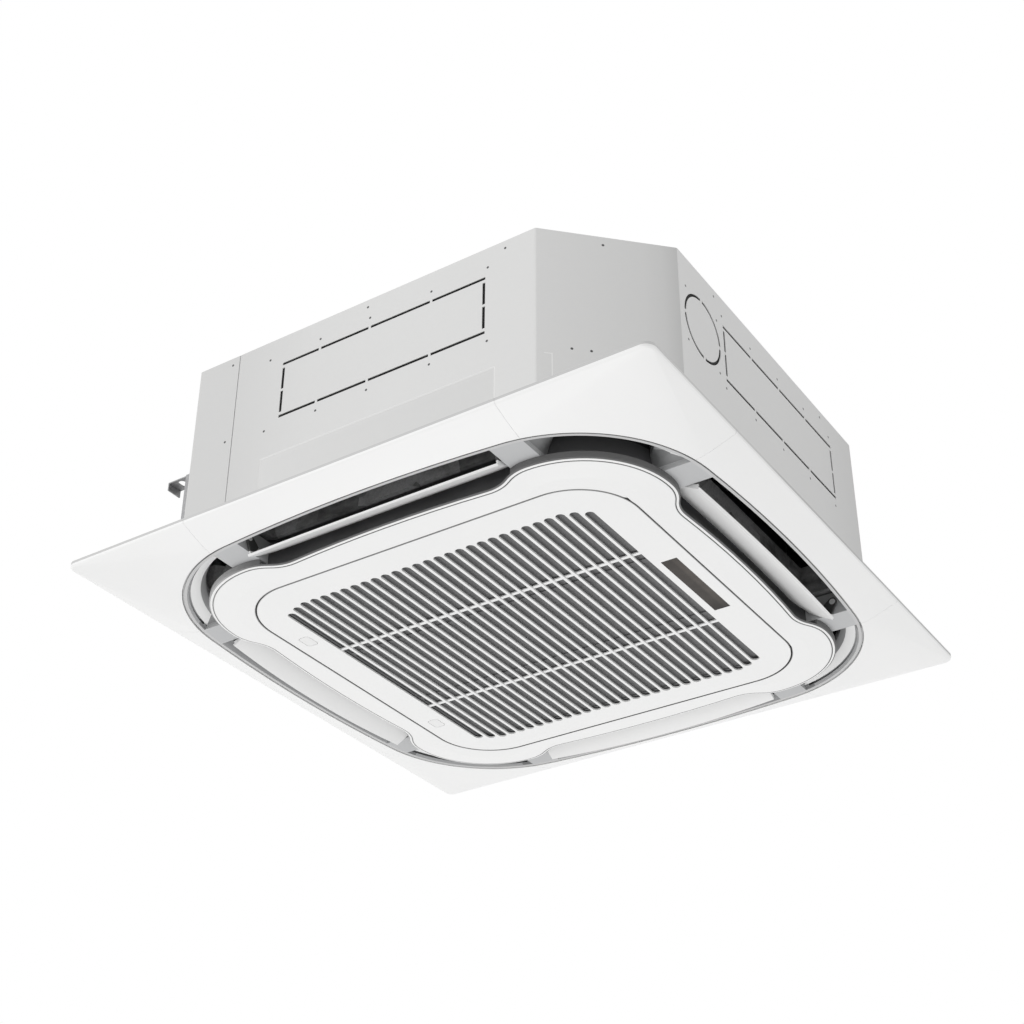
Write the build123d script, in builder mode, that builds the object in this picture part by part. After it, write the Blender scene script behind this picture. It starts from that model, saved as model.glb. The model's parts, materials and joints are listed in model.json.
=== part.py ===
from build123d import *

import os
from math import cos, hypot, pi, radians, sin, sqrt

# Ceiling cassette air conditioner: a sheet metal body above the ceiling and a square panel below it.
# Millimetres.  +Z is up.  The origin is the middle of the panel, in the plane of the finished ceiling.
# The sides are named front (-Y), right (+X), back (+Y) and left (-X).  The pipes leave on the left.

os.makedirs("parts", exist_ok=True)

# ---------------------------------------------------------------- driving dimensions

# Panel, below the ceiling
panel_width = 950.0
panel_corner = 15.0
panel_wall = 2.5
rim_height = 8.0
rim_round = 3.0
recess_border = 44.0        # rim of the panel to the middle of a side of the outlet recess
recess_depth = 26.0         # ceiling to the edge of the recess
recess_bow = 2400.0         # radius of a side
recess_corner = 215.0       # radius of a corner
face_depth = 40.7           # ceiling to the face of the intake grille

# White ring round the grille, with a dip in front of each louvre
outlet_width = 79.0         # recess to ring, in the middle of a side
ring_bow = 2000.0
ring_bend = 60.0
ring_corner_in = 120.0      # middle of a dip to the centre of a corner
ring_corner = 133.5
ring_edge = 6.0             # width of the rolled edge
ring_crown = 3.6            # rise of the face from the grille to the rolled edge
ring_top = 34.0             # ceiling to the back of the ring
ring_face = 42.5            # width of the ring in a dip
seam_in = 97.5              # middle of a dip to a corner cover's seam

# Louvres
louvre_in = 144.5           # middle of a dip to the end of an outlet slot
louvre_gap = 1.8
louvre_thickness = 4.5
louvre_inner_gap = 5.0
louvre_inset = 10.8         # outer edge of a shut louvre, inside the recess
pivot_inset = 36.0
pivot_depth = 7.0
louvre_open = 42.5          # angle from shut to the rest position
pin_radius = 3.0

# Intake grille
grille_corner = 93.0
grille_gap = 2.0
grille_plate = 2.6
slot_count = 29
slot_width = 13.6
slot_left = 49.5            # grille's edge to the first slot
slot_right = 54.7
slot_end = 47.5
rib_at = 112.6
window_width = 24.8
window_length = 159.0
window_in = 31.4            # grille's edge to the middle of the display window
latch_width = 18.0
latch_length = 26.0
latch_corner = 5.0
latch_gap = 0.7
latch_in = 26.5
latch_y = 164.0

# Body, above the ceiling
panel_overlap = 55.0        # how far the panel reaches past the body
body_height = 290.0
body_lift = 15.0            # ceiling to the bottom of the body
plain_chamfer = 139.0       # corners on the right
pipe_chamfer = 111.0        # corners on the left
fold = 5.0                  # outside radius of the folds
sheet = 1.2
press_depth = 1.2
liner_wall = 14.0
pan_height = 47.0
seal_height = 5.0

# Coil
coil_in = 30.0              # middle of a dip to the outside of the coil
coil_depth = 40.0
coil_corner = 110.0
coil_open = 117.0           # the coil is open at the back left corner, this far along each side
trough_depth = 12.0

# Fan
fan_room = 44.0             # coil to fan
neck_in = 35.0              # fan's edge to its neck
throat_in = 10.0            # neck to the throat of the bell mouth
fan_lift = 14.0             # drain pan to fan
fan_drop = 70.0             # fan to the top of the body
fan_wall = 2.6
hub_drop = 67.0
hub_radius = 85.0
cone_radius = 116.0
blade_count = 7
blade_thickness = 4.0
motor_radius = 75.0
shaft_radius = 6.0

# Clearances
gap = 0.3
running = 0.05

# ---------------------------------------------------------------- sizes that follow

half_panel = panel_width / 2
recess_half = half_panel - recess_border
ring_half = recess_half - outlet_width
ring_corner_centre = ring_half - ring_corner_in
seam_at = ring_half - seam_in
louvre_half = ring_half - louvre_in
pivot_out = recess_half - pivot_inset
half_grille = ring_half - ring_face
grille_width = 2 * half_grille
slot_pitch = (grille_width - slot_left - slot_right - slot_width) / (slot_count - 1)
slot_length = grille_width - 2 * slot_end
window_at = half_grille - window_in
latch_x = half_grille - latch_in
half_body = half_panel - panel_overlap
body_width = 2 * half_body
coil_half = ring_half - coil_in
coil_cut = coil_half - coil_open
fan_radius = coil_half - coil_depth - fan_room
neck_radius = fan_radius - neck_in
throat_radius = neck_radius - throat_in

rim_z = -rim_height
recess_z = -recess_depth
face_z = -face_depth
ring_z = -ring_top
plate_z = face_z + grille_plate
body_z = body_lift
top_z = body_lift + body_height
outlet_top = body_z - seal_height
pan_top = body_z + pan_height
fan_low = pan_top + fan_lift
fan_top = top_z - fan_drop
hub_z = fan_top - hub_drop


def turned(x, y, quarter):
    """A point turned clockwise by a number of quarter turns."""
    angle = -quarter * pi / 2
    return (x * cos(angle) - y * sin(angle), x * sin(angle) + y * cos(angle))


def toward(centre, radius, *through):
    """The point on a circle that faces the middle of the given points."""
    dx = sum((p[0] - centre[0]) / hypot(p[0] - centre[0], p[1] - centre[1]) for p in through)
    dy = sum((p[1] - centre[1]) / hypot(p[0] - centre[0], p[1] - centre[1]) for p in through)
    return (centre[0] + radius * dx / hypot(dx, dy), centre[1] + radius * dy / hypot(dx, dy))


def pillow_corner_centre():
    """Distance of a recess corner's centre from both axes: side and corner arcs touch there."""
    between = recess_bow - recess_corner
    drop = recess_bow - recess_half
    return (sqrt(2 * between**2 - drop**2) - drop) / 2


def pillow(inset):
    """The outline of the outlet recess, four bowed sides and four corners, moved inwards."""
    centre = pillow_corner_centre()
    side_centre = (0, recess_half - recess_bow)
    join = toward(side_centre, recess_bow - inset, (centre, centre))
    crown = toward((centre, centre), recess_corner - inset, (2 * centre, 2 * centre))
    with BuildSketch() as outline:
        with BuildLine():
            for k in range(4):
                ThreePointArc(
                    turned(-join[0], join[1], k),
                    turned(0, recess_half - inset, k),
                    turned(join[0], join[1], k),
                )
                ThreePointArc(
                    turned(join[0], join[1], k), turned(*crown, k), turned(join[1], join[0], k)
                )
        make_face()
    return outline.sketch


def pillow_at(x, inset):
    """Distance out of the recess outline at a distance along its side, near a corner."""
    centre = pillow_corner_centre()
    return centre + sqrt((recess_corner - inset) ** 2 - (x - centre) ** 2)


def ring_bend_centre():
    """Centre of the hollow bend between a dip's floor and the bulge beside it."""
    low = (0, ring_half - ring_bow)
    high = (ring_corner_centre, ring_corner_centre + ring_corner - ring_bend)
    apart = hypot(high[0], high[1] - low[1])
    along = ((ring_bow + ring_bend) ** 2 - (2 * ring_bend) ** 2 + apart**2) / (2 * apart)
    aside = sqrt((ring_bow + ring_bend) ** 2 - along**2)
    ux = high[0] / apart
    uy = (high[1] - low[1]) / apart
    return (along * ux - aside * uy, low[1] + along * uy + aside * ux)


def scallop(grow):
    """The outline of the white ring, four corners and four dips of tangent arcs, moved outwards."""
    c = ring_corner_centre
    low = (0, ring_half - ring_bow)
    high = (c, c + ring_corner - ring_bend)
    bend = ring_bend_centre()
    start = (c, c + ring_corner + grow)
    first = toward(high, ring_bend + grow, bend)
    second = toward(low, ring_bow + grow, bend)
    mid_high = toward(high, ring_bend + grow, start, first)
    mid_bend = toward(bend, ring_bend - grow, first, second)
    crown = toward((c, c), ring_corner + grow, (2 * c, 2 * c))
    with BuildSketch() as outline:
        with BuildLine():
            for k in range(4):
                for a, b, d in (
                    ((-start[0], start[1]), (-mid_high[0], mid_high[1]), (-first[0], first[1])),
                    ((-first[0], first[1]), (-mid_bend[0], mid_bend[1]), (-second[0], second[1])),
                    ((-second[0], second[1]), (0, ring_half + grow), second),
                    (second, mid_bend, first),
                    (first, mid_high, start),
                    (start, crown, (start[1], start[0])),
                ):
                    ThreePointArc(turned(*a, k), turned(*b, k), turned(*d, k))
        make_face()
    return outline.sketch


def square(width, corner):
    """A rounded square."""
    with BuildSketch() as outline:
        RectangleRounded(width, width, corner)
    return outline.sketch


def octagon(inset, bend=0.0):
    """The plan of the body, moved inwards: larger corners on the right than on the left."""
    half = half_body - inset
    plain = plain_chamfer - inset * (2 - sqrt(2))
    pipe = pipe_chamfer - inset * (2 - sqrt(2))
    with BuildSketch() as outline:
        Polygon(
            (half, half - plain),
            (half - plain, half),
            (pipe - half, half),
            (-half, half - pipe),
            (-half, pipe - half),
            (pipe - half, -half),
            (half - plain, -half),
            (half, plain - half),
            align=None,
        )
        if bend > 0:
            fillet(outline.vertices(), bend)
    return outline.sketch


def prism(outline, low, high):
    """A sketch stood up between two heights."""
    with BuildPart() as body:
        with BuildSketch(Plane.XY.offset(low)):
            add(outline)
        extrude(amount=high - low)
    return body.part


def tapered(lower, low, upper, high):
    """A straight-sided body between two outlines of as many edges."""
    with BuildPart() as body:
        with BuildSketch(Plane.XY.offset(low)):
            add(lower)
        with BuildSketch(Plane.XY.offset(high)):
            add(upper)
        loft(ruled=True)
    return body.part


def block(x0, x1, y0, y1, z0, z1):
    """A box between two corners."""
    with BuildPart() as body:
        with Locations(((x0 + x1) / 2, (y0 + y1) / 2, (z0 + z1) / 2)):
            Box(abs(x1 - x0), abs(y1 - y0), abs(z1 - z0))
    return body.part


def rod(start, end, radius):
    """A round bar from one point to another."""
    axis = Vector(*end) - Vector(*start)
    with BuildPart() as body:
        with BuildSketch(Plane(origin=start, z_dir=axis)):
            Circle(radius)
        extrude(amount=axis.length)
    return body.part


def tube(start, end, radius, wall):
    """A round pipe from one point to another."""
    axis = Vector(*end) - Vector(*start)
    with BuildPart() as body:
        with BuildSketch(Plane(origin=start, z_dir=axis)):
            Circle(radius)
            Circle(radius - wall, mode=Mode.SUBTRACT)
        extrude(amount=axis.length)
    return body.part


def quarters(part):
    """Four copies of a part, a quarter turn apart round the middle."""
    return [part.rotate(Axis.Z, 90 * k) for k in range(4)]


pieces = {}

# ---------------------------------------------------------------- panel frame and its corner covers


def dish(inset):
    """The panel's outside, square at the rim and pillow shaped at the recess, moved inwards."""
    width = panel_width - 2 * inset
    corner = panel_corner - inset
    low = square(width - 2 * rim_round, corner - rim_round)
    mid = square(width - 0.6 * rim_round, corner - 0.3 * rim_round)
    low_z = rim_z + inset
    mid_z = low_z + 0.45 * rim_round
    top = low_z + 1.3 * rim_round
    with BuildPart() as body:
        add(prism(square(width, corner), top, 0))
        add(tapered(mid, mid_z, square(width, corner), top))
        add(tapered(low, low_z, mid, mid_z))
        add(tapered(pillow(-inset), recess_z + inset, low, low_z))
    return body.part


with BuildPart() as panel_hollow:
    add(dish(panel_wall))
    add(prism(pillow(-panel_wall), recess_z, 0), mode=Mode.SUBTRACT)

with BuildPart() as panel_shell:
    add(dish(0))
    add(panel_hollow.part, mode=Mode.SUBTRACT)
    add(prism(pillow(0), recess_z, 0), mode=Mode.SUBTRACT)

corner_zones = [
    block(seam_at, half_panel, seam_at, half_panel, recess_z - 1, 1).rotate(Axis.Z, 90 * k)
    for k in range(4)
]
flange_low = -3.4
flange_high = -0.8
screw_past = 15.519         # corner screws of the panel, out from the body's left corners
screw_out = (body_width - pipe_chamfer) / sqrt(2) + screw_past
screw_radius = 2.6
boss_radius = 7.0

with BuildSketch() as corner_flange:
    add(square(panel_width - 2 * (panel_wall + gap + 1), panel_corner - panel_wall))
    add(pillow(-panel_wall - gap), mode=Mode.SUBTRACT)

with BuildSketch() as side_flange:
    add(square(panel_width - panel_wall, panel_corner - panel_wall / 2))
    add(pillow(-panel_wall / 2), mode=Mode.SUBTRACT)
    with PolarLocations(0, 4):
        with Locations((half_panel, half_panel)):
            Rectangle(2 * (half_panel - seam_at), 2 * (half_panel - seam_at), mode=Mode.SUBTRACT)

with BuildPart() as panel_frame:
    add(panel_shell.part)
    add(corner_zones, mode=Mode.SUBTRACT)
    add(prism(corner_flange.sketch, flange_low, flange_high))
    add(prism(side_flange.sketch, flange_low, flange_high))
    with PolarLocations(screw_out, 4, start_angle=45):
        Cylinder(screw_radius, 2 * recess_depth, mode=Mode.SUBTRACT)
pieces["panel_frame"] = panel_frame.part

with BuildPart() as corner_cover:
    add(panel_shell.part)
    add(
        block(seam_at + gap, half_panel, seam_at + gap, half_panel, recess_z - 1, 1),
        mode=Mode.INTERSECT,
    )
corner_names = ("back_right", "back_left", "front_left", "front_right")
for name, part in zip(corner_names, quarters(corner_cover.part)):
    pieces["corner_cover_" + name] = part

# ---------------------------------------------------------------- light grey outlet ring

bead_inset = 2.8            # rounded bead round the recess: outside, lower edge and upper edge
bead_lower = 7.2
bead_upper = 9.5
bead_height = 4.5
bead_groove = 2.5           # depth of the groove between the bead and the panel
duct_inset = 24.0           # how far the ducts have drawn in at the top
ring_wall_inset = 9.3       # outlet ring's inner edge behind the white ring's outline
duct_inner = ring_half - 22 # ducts are open towards the intake frame
bridge_wall = 3.5
outlet_low = recess_z + 0.5
bead_z = outlet_low + bead_height

with BuildPart() as duct_core:
    add(tapered(pillow(bead_lower), outlet_low, pillow(bead_upper), bead_z))
    add(tapered(pillow(bead_upper), bead_z, pillow(duct_inset), outlet_top))

with BuildPart() as louvre_duct:
    add(duct_core.part)
    add(
        block(-louvre_half, louvre_half, duct_inner, recess_half, recess_z, outlet_top),
        mode=Mode.INTERSECT,
    )


def corner_slot(inset, spread):
    """A corner outlet's section: recess corner outside, ring corner inside, ends drawn in outside."""
    c = ring_corner_centre
    inner = ring_corner - ring_wall_inset - 6
    out_x = seam_at + spread
    out_y = pillow_at(out_x, inset)
    in_y = c + sqrt(inner**2 - (seam_at - c) ** 2)
    outer_centre = pillow_corner_centre()
    crown = toward((outer_centre, outer_centre), recess_corner - inset, (2 * c, 2 * c))
    inner_crown = toward((c, c), inner, (2 * c, 2 * c))
    with BuildSketch() as section:
        with BuildLine():
            ThreePointArc((out_x, out_y), crown, (out_y, out_x))
            Line((out_y, out_x), (in_y, seam_at))
            ThreePointArc((in_y, seam_at), inner_crown, (seam_at, in_y))
            Line((seam_at, in_y), (out_x, out_y))
        make_face()
    return section.sketch


corner_inset = 31.0
corner_spread = 27.0
shelf_inset = 11.5          # white slope behind the bead, from its lower to its upper edge
shelf_z = outlet_low + 7
slope_inset = 25.0
slope_spread = 12.0
slope_z = outlet_low + 14.5
channel_inset = 4.0
channel_top = outlet_low + 9
with BuildPart() as corner_duct:
    add(tapered(corner_slot(bead_lower, 0), outlet_low, corner_slot(bead_upper, 0), bead_z))
    add(prism(corner_slot(shelf_inset, 0), bead_z, shelf_z))
    add(
        tapered(
            corner_slot(shelf_inset, 0), shelf_z, corner_slot(slope_inset, slope_spread), slope_z
        )
    )
    add(
        tapered(
            corner_slot(slope_inset, slope_spread), slope_z, corner_slot(corner_inset, corner_spread), 0
        )
    )
    add(prism(corner_slot(corner_inset, corner_spread), 0, outlet_top))

with BuildPart() as corner_channel:
    add(prism(pillow(channel_inset), bead_z, channel_top))
    add(prism(pillow(shelf_inset), bead_z, channel_top), mode=Mode.SUBTRACT)
    add(
        block(seam_at + 8, half_panel, seam_at + 8, half_panel, bead_z, channel_top),
        mode=Mode.INTERSECT,
    )

corner_chamfers = ((45, plain_chamfer), (135, pipe_chamfer), (225, pipe_chamfer), (315, plain_chamfer))
pocket_x0 = louvre_half + bridge_wall
pocket_x1 = seam_at - bridge_wall
pocket_low = pillow_at(seam_at, 0) - 62
pocket_high = pivot_out + 17
with BuildPart() as outlet_ring:
    add(prism(pillow(0.5), outlet_low + bead_groove, outlet_top))
    add(prism(pillow(bead_inset), outlet_low, outlet_low + bead_groove))
    add(prism(scallop(-ring_wall_inset), outlet_low, outlet_top), mode=Mode.SUBTRACT)
    add(quarters(louvre_duct.part), mode=Mode.SUBTRACT)
    add(quarters(corner_duct.part), mode=Mode.SUBTRACT)
    add(quarters(corner_channel.part), mode=Mode.SUBTRACT)
    for k in range(4):
        for x0, x1 in ((pocket_x0, pocket_x1), (-pocket_x1, -pocket_x0)):
            pocket = block(x0, x1, pocket_low, pocket_high, outlet_low + panel_wall, outlet_top)
            add(pocket.rotate(Axis.Z, 90 * k), mode=Mode.SUBTRACT)
        bore = rod(
            (-louvre_half - bridge_wall, pivot_out, -pivot_depth),
            (louvre_half + bridge_wall, pivot_out, -pivot_depth),
            pin_radius + running,
        )
        add(bore.rotate(Axis.Z, 90 * k), mode=Mode.SUBTRACT)
    for angle, chamfer in corner_chamfers:
        out = (body_width - chamfer) / sqrt(2)
        notch = block(out - 3, out + 30, -23, 23, 0.5, outlet_top)
        add(notch.rotate(Axis.Z, angle), mode=Mode.SUBTRACT)
pieces["outlet_ring"] = outlet_ring.part

# ---------------------------------------------------------------- black intake frame

frame_wall = 3.0
intake_in = 52.0            # ring's outline to the intake's wall
intake_half = ring_half - intake_in
intake_corner = 30.0
with BuildPart() as intake_frame:
    add(prism(scallop(-ring_wall_inset - gap), ring_z, outlet_top))
    add(
        prism(scallop(-ring_wall_inset - gap - frame_wall), ring_z, outlet_top - frame_wall),
        mode=Mode.SUBTRACT,
    )
    add(prism(square(2 * (intake_half + frame_wall), intake_corner + frame_wall), ring_z, outlet_top))
    add(prism(square(2 * intake_half, intake_corner), ring_z, outlet_top), mode=Mode.SUBTRACT)

# ---------------------------------------------------------------- hinge of the intake grille

hinge_inset = 2.6           # axis to the grille's edge
hinge_rise = 2.9            # axis above the grille's face
hinge_pin = 1.0
hinge_eye = 1.4
knuckle_radius = 2.2
knuckle_length = 12.0
hinge_y = 180.0
hinge_x = half_grille - hinge_inset
hinge_z = face_z + hinge_rise
skin = 1.0                  # grille's face over a hinge eye

with BuildPart() as hinge_eyes:
    for y in (-hinge_y, hinge_y):
        for side in (-1, 1):
            y0 = y + side * (knuckle_length / 2 + gap)
            y1 = y0 + side * 4
            add(rod((hinge_x, y0, hinge_z), (hinge_x, y1, hinge_z), hinge_eye))
            add(block(hinge_x - hinge_eye, hinge_x + hinge_eye, y0, y1, hinge_z, ring_z + 3))
            add(block(intake_half + 0.5, hinge_x + hinge_eye, y0, y1, ring_z, ring_z + 3))
    for y in (-hinge_y, hinge_y):
        reach = knuckle_length / 2 + 6
        add(
            rod((hinge_x, y - reach, hinge_z), (hinge_x, y + reach, hinge_z), hinge_pin),
            mode=Mode.SUBTRACT,
        )

# The frame is four straight sides and four corners, welded edge to edge
frame_joint = intake_half - intake_corner
reach = half_panel
frame_zones = [block(frame_joint, reach, -frame_joint, frame_joint, ring_z, outlet_top)]
frame_zones.append(block(frame_joint, reach, frame_joint, reach, ring_z, outlet_top))
frame_parts = []
for zone in frame_zones:
    for k in range(4):
        with BuildPart() as frame_part:
            add(intake_frame.part)
            add(zone.rotate(Axis.Z, 90 * k), mode=Mode.INTERSECT)
            if zone is frame_zones[0] and k == 0:
                add(hinge_eyes.part)
        frame_parts.append(frame_part.part.solid())
pieces["intake_frame"] = Compound(frame_parts)

with BuildPart() as hinge_pins:
    for y in (-hinge_y, hinge_y):
        reach = knuckle_length / 2 + gap + 4
        add(rod((hinge_x, y - reach, hinge_z), (hinge_x, y + reach, hinge_z), hinge_pin))
pieces["grille_hinge_pins"] = hinge_pins.part

# ---------------------------------------------------------------- white ring

crown_width = 34.0
edge_rise = 0.7
roll_rise = 2.3
skirt_wall = 4.0
groove_width = 1.2          # thin line between the ring's face and its rolled edge
groove_depth = 1.7
hinge_axis = Axis((hinge_x, 0, hinge_z), (0, -1, 0))

with BuildPart() as louvre_zones:
    add(quarters(block(-louvre_half, louvre_half, 0, recess_half, recess_z - 20, outlet_top)))

with BuildPart() as ring_skirt:
    add(prism(scallop(ring_edge), ring_z, outlet_low - gap))
    add(prism(scallop(ring_edge - skirt_wall), ring_z, outlet_low - gap), mode=Mode.SUBTRACT)
    add(louvre_zones.part, mode=Mode.SUBTRACT)

crown_z = face_z + ring_crown
with BuildPart() as ring_groove:
    add(prism(scallop(0.75 * groove_width), face_z, crown_z + groove_depth))
    add(prism(scallop(-0.25 * groove_width), face_z, crown_z + groove_depth), mode=Mode.SUBTRACT)

with BuildPart() as grille_swing:
    for angle in (50, 58, 66, 74, 82, 90):
        plate = prism(square(grille_width + 2 * gap, grille_corner + gap), face_z - gap, plate_z + gap)
        add(plate.rotate(hinge_axis, angle))

with BuildPart() as inner_ring:
    edge = 0.6 * ring_edge
    add(tapered(scallop(-crown_width), face_z, scallop(0), crown_z))
    add(tapered(scallop(0), crown_z, scallop(edge), crown_z + edge_rise))
    add(tapered(scallop(edge), crown_z + edge_rise, scallop(ring_edge), crown_z + roll_rise))
    add(prism(scallop(ring_edge), crown_z + roll_rise, ring_z))
    add(
        prism(square(grille_width + 2 * grille_gap, grille_corner + grille_gap), face_z, ring_z),
        mode=Mode.SUBTRACT,
    )
    add(ring_skirt.part)
    add(ring_groove.part, mode=Mode.SUBTRACT)
    add(grille_swing.part, mode=Mode.SUBTRACT)
pieces["inner_ring"] = inner_ring.part

# ---------------------------------------------------------------- intake grille

bevel = 0.8
rim_wall = 2.0
rib_width = 5.6
rib_height = 1.9
slot_shift = 2.0            # the slots' middle, towards the back
filter_left = 43.5 - half_grille
filter_right = half_grille - 47.5
filter_half = half_grille - 41.5
filter_low = face_z + 5.0
filter_height = 6.0
filter_bar = 9.0
tray_wall = 2.0
first_slot = slot_left + slot_width / 2 - half_grille

with BuildSketch() as slots:
    for i in range(slot_count):
        from_end = min(i, slot_count - 1 - i)
        shorter = 32.0 if from_end == 0 else 12.0 if from_end == 1 else 0.0
        with Locations((first_slot + i * slot_pitch, slot_shift)):
            SlotOverall(slot_length - shorter, slot_width, rotation=90)

with BuildSketch() as latch_holes:
    with Locations((-latch_x, -latch_y), (-latch_x, latch_y)):
        RectangleRounded(latch_width + 2 * latch_gap, latch_length + 2 * latch_gap, latch_corner + latch_gap)

with BuildPart() as knuckles:
    for y in (-hinge_y, hinge_y):
        y0 = y - knuckle_length / 2
        add(rod((hinge_x, y0, hinge_z), (hinge_x, y0 + knuckle_length, hinge_z), knuckle_radius))

with BuildPart() as eye_pockets:
    for y in (-hinge_y, hinge_y):
        for side in (-1, 1):
            y0 = y + side * knuckle_length / 2
            y1 = y0 + side * (gap + 4 + 0.5)
            add(block(hinge_x - 3.5, half_grille + 1, y0, y1, face_z + skin, ring_z))

with BuildPart() as intake_grille:
    add(
        tapered(
            square(grille_width - 2 * bevel, grille_corner - bevel),
            face_z,
            square(grille_width, grille_corner),
            face_z + bevel,
        )
    )
    add(prism(square(grille_width, grille_corner), face_z + bevel, plate_z))
    add(prism(square(grille_width - 4, grille_corner - 2), plate_z, ring_z - 1))
    add(
        prism(
            square(grille_width - 4 - 2 * rim_wall, grille_corner - 2 - rim_wall), plate_z, ring_z - 1
        ),
        mode=Mode.SUBTRACT,
    )
    add(prism(slots.sketch, face_z, plate_z), mode=Mode.SUBTRACT)
    for y in (-rib_at, rib_at):
        add(
            block(
                filter_left,
                filter_right,
                y - rib_width / 2,
                y + rib_width / 2,
                plate_z,
                plate_z + rib_height,
            )
        )
    x0 = filter_left - gap
    x1 = filter_right + gap
    y1 = filter_half + gap
    tray_top = filter_low + 2
    add(block(x0 - tray_wall, x0, -y1, y1, plate_z, tray_top))
    add(block(x1, x1 + tray_wall, -y1, y1, plate_z, tray_top))
    add(block(x0 - tray_wall, x1 + tray_wall, y1, y1 + tray_wall, plate_z, tray_top))
    add(block(x0 - tray_wall, x1 + tray_wall, -y1 - tray_wall, -y1, plate_z, tray_top))
    add(
        block(
            window_at - window_width / 2,
            window_at + window_width / 2,
            -window_length / 2,
            window_length / 2,
            face_z,
            plate_z,
        ),
        mode=Mode.SUBTRACT,
    )
    add(prism(latch_holes.sketch, face_z, plate_z), mode=Mode.SUBTRACT)
    add(knuckles.part)
    add(eye_pockets.part, mode=Mode.SUBTRACT)
    for y in (-hinge_y, hinge_y):
        reach = knuckle_length / 2
        bore = rod(
            (hinge_x, y - reach, hinge_z), (hinge_x, y + reach, hinge_z), hinge_pin + running
        )
        add(bore, mode=Mode.SUBTRACT)
pieces["intake_grille"] = intake_grille.part

with BuildPart() as filter_frame:
    filter_high = filter_low + filter_height
    add(block(filter_left, filter_right, -filter_half, filter_half, filter_low, filter_high))
    inner_left = filter_left + filter_bar
    inner_right = filter_right - filter_bar
    cell = (2 * filter_half - 4 * filter_bar) / 3
    for i in range(3):
        y0 = -filter_half + filter_bar + i * (cell + filter_bar)
        mid = (inner_left + inner_right) / 2
        for x0, x1 in ((inner_left, mid - 2), (mid + 2, inner_right)):
            add(block(x0, x1, y0, y0 + cell, filter_low, filter_high), mode=Mode.SUBTRACT)
    mesh_low = filter_low + 2
    mesh_high = mesh_low + 0.8
    add(
        block(
            filter_left + 4,
            filter_right - 4,
            4 - filter_half,
            filter_half - 4,
            mesh_low,
            mesh_high,
        ),
        mode=Mode.SUBTRACT,
    )
pieces["filter_frame"] = filter_frame.part
pieces["filter_mesh"] = block(
    filter_left + 4, filter_right - 4, 4 - filter_half, filter_half - 4, mesh_low, mesh_high
)

with BuildPart() as display_window:
    half_x = window_width / 2 - 0.15
    half_y = window_length / 2 - 0.15
    add(block(window_at - half_x, window_at + half_x, -half_y, half_y, face_z, plate_z))
    half_x += 1.0
    half_y += 2.0
    add(block(window_at - half_x, window_at + half_x, -half_y, half_y, plate_z, plate_z + 1.2))
pieces["display_window"] = display_window.part

with BuildPart() as receiver_board:
    board_low = plate_z + 2.8
    add(block(window_at - 10, window_at + 10, -74, 74, board_low, board_low + 1.6))
    for y in (-60, 0, 60):
        add(block(window_at - 3, window_at + 3, y - 3, y + 3, plate_z + 1.2, board_low))
pieces["receiver_board"] = receiver_board.part


def latch(y):
    """A push latch: a button through the grille's face, a flange behind it and a hooked stem."""
    flange_z = plate_z + gap
    with BuildPart() as body:
        with BuildSketch(Plane.XY.offset(face_z)):
            with Locations((-latch_x, y)):
                RectangleRounded(latch_width, latch_length, latch_corner)
        extrude(amount=flange_z - face_z)
        x = -latch_x
        add(block(x - 11, x + 11, y - 15, y + 15, flange_z, flange_z + 1.5))
        add(block(x - 4, x + 4, y - 6, y + 6, flange_z + 1.5, flange_z + 7))
        add(block(x - 12, x + 4, y - 6, y + 6, flange_z + 5, flange_z + 7))
    return body.part


pieces["latch_front"] = latch(-latch_y)
pieces["latch_back"] = latch(latch_y)

# ---------------------------------------------------------------- louvres and their motors

vane_slope = 0.1862
vane_inner_z = -38.3
vane_from = ring_half - 2
vane_to = recess_half - 6
vane_edge = 2.2
vane_bulge = 1.5
arm_width = 3.0
arm_radius = 6.5
vane_half = louvre_half - louvre_gap


def vane_z(out):
    """Height of the shut louvre's lower face, before it is bulged."""
    return vane_inner_z + (out - ring_half - ring_edge - louvre_inner_gap + 1) * vane_slope


with BuildPart() as vane:
    middle = (vane_from + vane_to) / 2
    with BuildSketch(Plane.YZ.offset(-vane_half)):
        with BuildLine():
            ThreePointArc(
                (vane_from, vane_z(vane_from)),
                (middle, vane_z(middle) - vane_bulge),
                (vane_to, vane_z(vane_to)),
            )
            Line((vane_to, vane_z(vane_to)), (vane_to, vane_z(vane_to) + vane_edge))
            ThreePointArc(
                (vane_to, vane_z(vane_to) + vane_edge),
                (middle, vane_z(middle) - vane_bulge + louvre_thickness),
                (vane_from, vane_z(vane_from) + vane_edge),
            )
            Line((vane_from, vane_z(vane_from) + vane_edge), (vane_from, vane_z(vane_from)))
        make_face()
    extrude(amount=2 * vane_half)
    add(prism(pillow(louvre_inset), vane_z(vane_from) - 5, outlet_top), mode=Mode.INTERSECT)
    add(
        prism(scallop(ring_edge + louvre_inner_gap), vane_z(vane_from) - 5, outlet_top),
        mode=Mode.SUBTRACT,
    )

with BuildPart() as vane_arm:
    with BuildSketch(Plane.YZ.offset(vane_half - arm_width)):
        Polygon(
            (pivot_out - 11, vane_z(pivot_out - 11) + 1.5),
            (pivot_out + 13, vane_z(pivot_out + 13) + 1.5),
            (pivot_out + arm_radius, -pivot_depth),
            (pivot_out - arm_radius, -pivot_depth),
            align=None,
        )
        with Locations((pivot_out, -pivot_depth)):
            Circle(arm_radius)
    extrude(amount=arm_width)
    add(
        rod(
            (vane_half - arm_width, pivot_out, -pivot_depth),
            (pocket_x0, pivot_out, -pivot_depth),
            pin_radius,
        )
    )

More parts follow.
